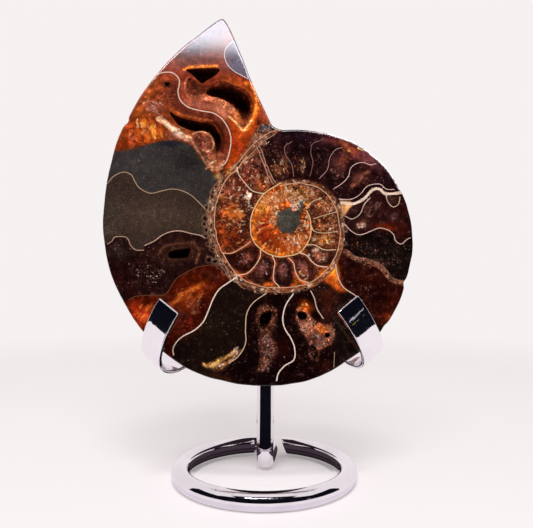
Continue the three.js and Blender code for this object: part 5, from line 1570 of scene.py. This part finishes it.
# bead of braze where the post meets the strips
bead, quads = [], []
turns, hoops = 40, 20
for i in range(hoops + 1):
    lat = math.pi * i / hoops
    for j in range(turns if 0 < i < hoops else 1):
        lon = 2 * math.pi * j / turns
        d = np.array([math.sin(lat) * math.cos(lon), math.sin(lat) * math.sin(lon), math.cos(lat)])
        swell = 1.0 + 0.05 * math.sin(3 * lon + 1.0) * math.sin(lat) + 0.04 * math.sin(5 * lat) * math.cos(2 * lon)
        bead.append(np.array([0.45, 8.0, 66.6]) + d * np.array([4.3, 3.1, 2.7]) * swell)
for j in range(turns):
    quads.append((0, 1 + j, 1 + (j + 1) % turns))
    quads.append((len(bead) - 1, len(bead) - 1 - turns + (j + 1) % turns, len(bead) - 1 - turns + j))
    for i in range(hoops - 2):
        a, b = 1 + i * turns + j, 1 + i * turns + (j + 1) % turns
        quads.append((a, a + turns, b + turns, b))
joint = mesh_piece("braze_bead", row(bead), quads)
joint.data.materials.append(braze_material())
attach(joint, "root")

fossil = build_fossil()
fossil.data.materials.append(face_material())
fossil.data.materials.append(shell_material())
fossil.data.materials.append(face_material("fossil_hollow", 1.3, 0.08, 1.0))
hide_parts("fossil")
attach(fossil, "root")

# ---- stage ---------------------------------------------------------------------------
floor = mesh_piece("floor", [(-6, -6, 0), (6, -6, 0), (6, 6, 0), (-6, 6, 0)], [(0, 1, 2, 3)])
floor.data.materials.append(floor_material())

world = bpy.data.worlds.new("studio")
bpy.context.scene.world = world
world.use_nodes = True
wt = world.node_tree
sky = wt.nodes["Background"]
sky.inputs["Color"].default_value = PALE
ray = wt.nodes.new("ShaderNodeLightPath")
level = wt.nodes.new("ShaderNodeMapRange")
level.inputs["To Min"].default_value = 1.0
level.inputs["To Max"].default_value = 0.52
wt.links.new(ray.outputs["Is Diffuse Ray"], level.inputs["Value"])
wt.links.new(level.outputs["Result"], sky.inputs["Strength"])


def area(name, at, aim, size, watts, colour=(1, 1, 1)):
    data = bpy.data.lights.new(name, "AREA")
    data.shape = "RECTANGLE"
    data.size, data.size_y = size
    data.energy = watts
    data.color = colour
    ob = bpy.data.objects.new(name, data)
    bpy.context.scene.collection.objects.link(ob)
    ob.location = at
    ob.rotation_euler = (Vector(aim) - Vector(at)).to_track_quat("-Z", "Y").to_euler()
    ob.visible_camera = False
    return ob


area("front_strip", (-0.03, -0.41, 0.4605), (0, 0, 0.10), (0.36, 0.106), 2.2, (0.95, 0.93, 1.0))
area("top_panel", (0.02, -0.36, 0.66), (0, 0.0, 0.04), (0.17, 0.08), 1.7).visible_glossy = False


def fence(line, z0, z1):
    n = len(line)
    return [(x, y, z) for z in (z0, z1) for x, y in line], [(i, i + 1, n + i + 1, n + i) for i in range(n - 1)]


def card(name, corners, shade, fill=False, faces=None):
    ob = mesh_piece(name, corners, faces or [tuple(range(len(corners)))])
    n = bpy.data.materials.new(name)
    n.use_nodes = True
    t = n.node_tree
    t.nodes.clear()
    o = t.nodes.new("ShaderNodeOutputMaterial")
    e = t.nodes.new("ShaderNodeEmission")
    e.inputs["Color"].default_value = (*shade, 1)
    e.inputs["Strength"].default_value = 1.0
    t.links.new(e.outputs[0], o.inputs["Surface"])
    ob.data.materials.append(n)
    ob.visible_camera = ob.visible_shadow = False
    ob.visible_diffuse = fill
    ob.visible_transmission = ob.visible_volume_scatter = False
    return ob


INK = (0.004, 0.004, 0.008)
FOOT = row([[0.2, 8.0, 0.0]])[0]


def arc(radius, a0, a1, steps=24):
    """Points about the foot of the post; 0 degrees is straight to the front."""
    a = np.radians(np.linspace(a0, a1, steps))
    return [(FOOT[0] + radius * math.sin(t), FOOT[1] - radius * math.cos(t)) for t in a]


card("dark_front", [(-0.8, -0.36, 0.0), (0.8, -0.36, 0.0), (0.8, -0.36, 0.326), (-0.8, -0.36, 0.326)], INK, True)
card("dark_table", [(-0.8, -0.36, 0.002), (0.8, -0.36, 0.002), (0.8, -0.09, 0.002), (0.06, -0.09, 0.002), (0.045, -0.045, 0.002),
                    (-0.045, -0.045, 0.002), (-0.06, -0.09, 0.002), (-0.8, -0.09, 0.002)], INK)
sleeve = arc(0.013, -60, 66)
corners, quads = fence(sleeve, 0.006, 0.042)
card("dark_sleeve", corners, INK, faces=quads)
for side in (-1, 1):
    card("dark_side", [(side * 0.5, -0.36, 0.0), (side * 0.5, 0.04, 0.0), (side * 0.5, 0.04, 0.36), (side * 0.5, -0.36, 0.36)], INK)
middle = row([[0.0, 0.0, 0.0]])[0]


def lobe(a0, a1, *rest):
    t = np.linspace(a0, a1, 30)
    return [(middle[0] + 0.0222 * math.cos(q), middle[1] + 0.0222 * math.sin(q), 0.0006) for q in t] + [
        (middle[0] + x, middle[1] + y, 0.0006) for x, y in rest]


DUSK = (0.058, 0.040, 0.053)
DEEP = (0.022, 0.015, 0.019)
# painted shade: dark fences and a dark ring on the floor inside the ring, hidden from the camera, stand in for the
# shaded floor in the chrome's reflections; the fences also cast shadow on the floor
for a0, a1 in ((0.25, 1.36), (1.72, 2.95)):
    t = np.linspace(a0, a1, 20)
    ring_at = [(middle[0] + 0.0217 * math.cos(q), middle[1] + 0.0217 * math.sin(q)) for q in t]
    for z0, z1, shade in ((0.0, 0.0021, DEEP), (0.0021, 0.0041, DUSK)):
        corners, quads = fence(ring_at, z0, z1)
        skirt = card("dark_skirt", corners, shade, True, quads)
        skirt.visible_shadow = True
    hem = [(middle[0] + r * math.cos(q), middle[1] + r * math.sin(q), 0.0003) for r in (0.0217, 0.0239) for q in t]
    card("dark_hem", hem, DEEP, faces=quads)
card("shade_left", lobe(1.72, math.pi + 0.3, (-0.013, -0.006), (-0.010, 0.0105), (-0.0032, 0.0115)), DUSK)
card("shade_right", lobe(-0.3, 1.40, (0.0036, 0.0115), (0.010, 0.0105), (0.013, -0.006)), DUSK)
for plan in (((-0.0125, 0.016), (-0.0030, 0.016), (-0.0030, 0.034), (-0.0062, 0.034)), ((0.0035, 0.016), (0.0108, 0.016), (0.0085, 0.027), (0.0035, 0.027))):
    card("dusk_over", [(middle[0] + x, middle[1] + y, 0.012) for x, y in plan], DEEP)
for x, z, half, long, shade in ((0.446, 0.090, 0.0065, 0.05, (0.55, 0.53, 0.56)), (0.4932, 0.0407, 0.008, 0.006, (0.42, 0.36, 0.08))):
    along, over = np.array([0.72, 0.69]), np.array([0.69, -0.72])
    corners = [np.array([x, z]) + i * half * over + j * long * along for i, j in ((-1, -1), (1, -1), (1, 1), (-1, 1))]
    card("small_reflector", [(q[0], -0.352, q[1]) for q in corners], shade)
card("dark_top", [(-0.35, -0.43, 0.53), (0.35, -0.43, 0.53), (0.35, -0.25, 0.60), (-0.35, -0.25, 0.60)], INK)
card("dark_mid", [(-0.35, -0.2, 0.15), (0.35, -0.2, 0.15), (0.35, -0.2, 0.243), (-0.35, -0.2, 0.243)], INK)
for k in range(2):
    t = np.linspace(k * math.pi, (k + 1) * math.pi, 40)
    rim_out = [(middle[0] + 0.0305 * math.cos(q), middle[1] + 0.0305 * math.sin(q), 0.0005) for q in t]
    rim_in = [(middle[0] + 0.0262 * math.cos(q), middle[1] + 0.0262 * math.sin(q), 0.0005) for q in t[::-1]]
    card("shade_rim", rim_out + rim_in, (0.84, 0.78, 0.84))

# soft fill on the object from behind, not on the paper
fill = area("back_fill", (-0.25, 0.55, 0.40), (0, 0, 0.08), (0.6, 0.5), 2.4)
lit = bpy.data.collections.new("filled")
lit.objects.link(fossil)
fill.light_linking.receiver_collection = lit

bpy.context.scene.view_settings.view_transform = "Standard"
bpy.context.scene.view_settings.look = "None"
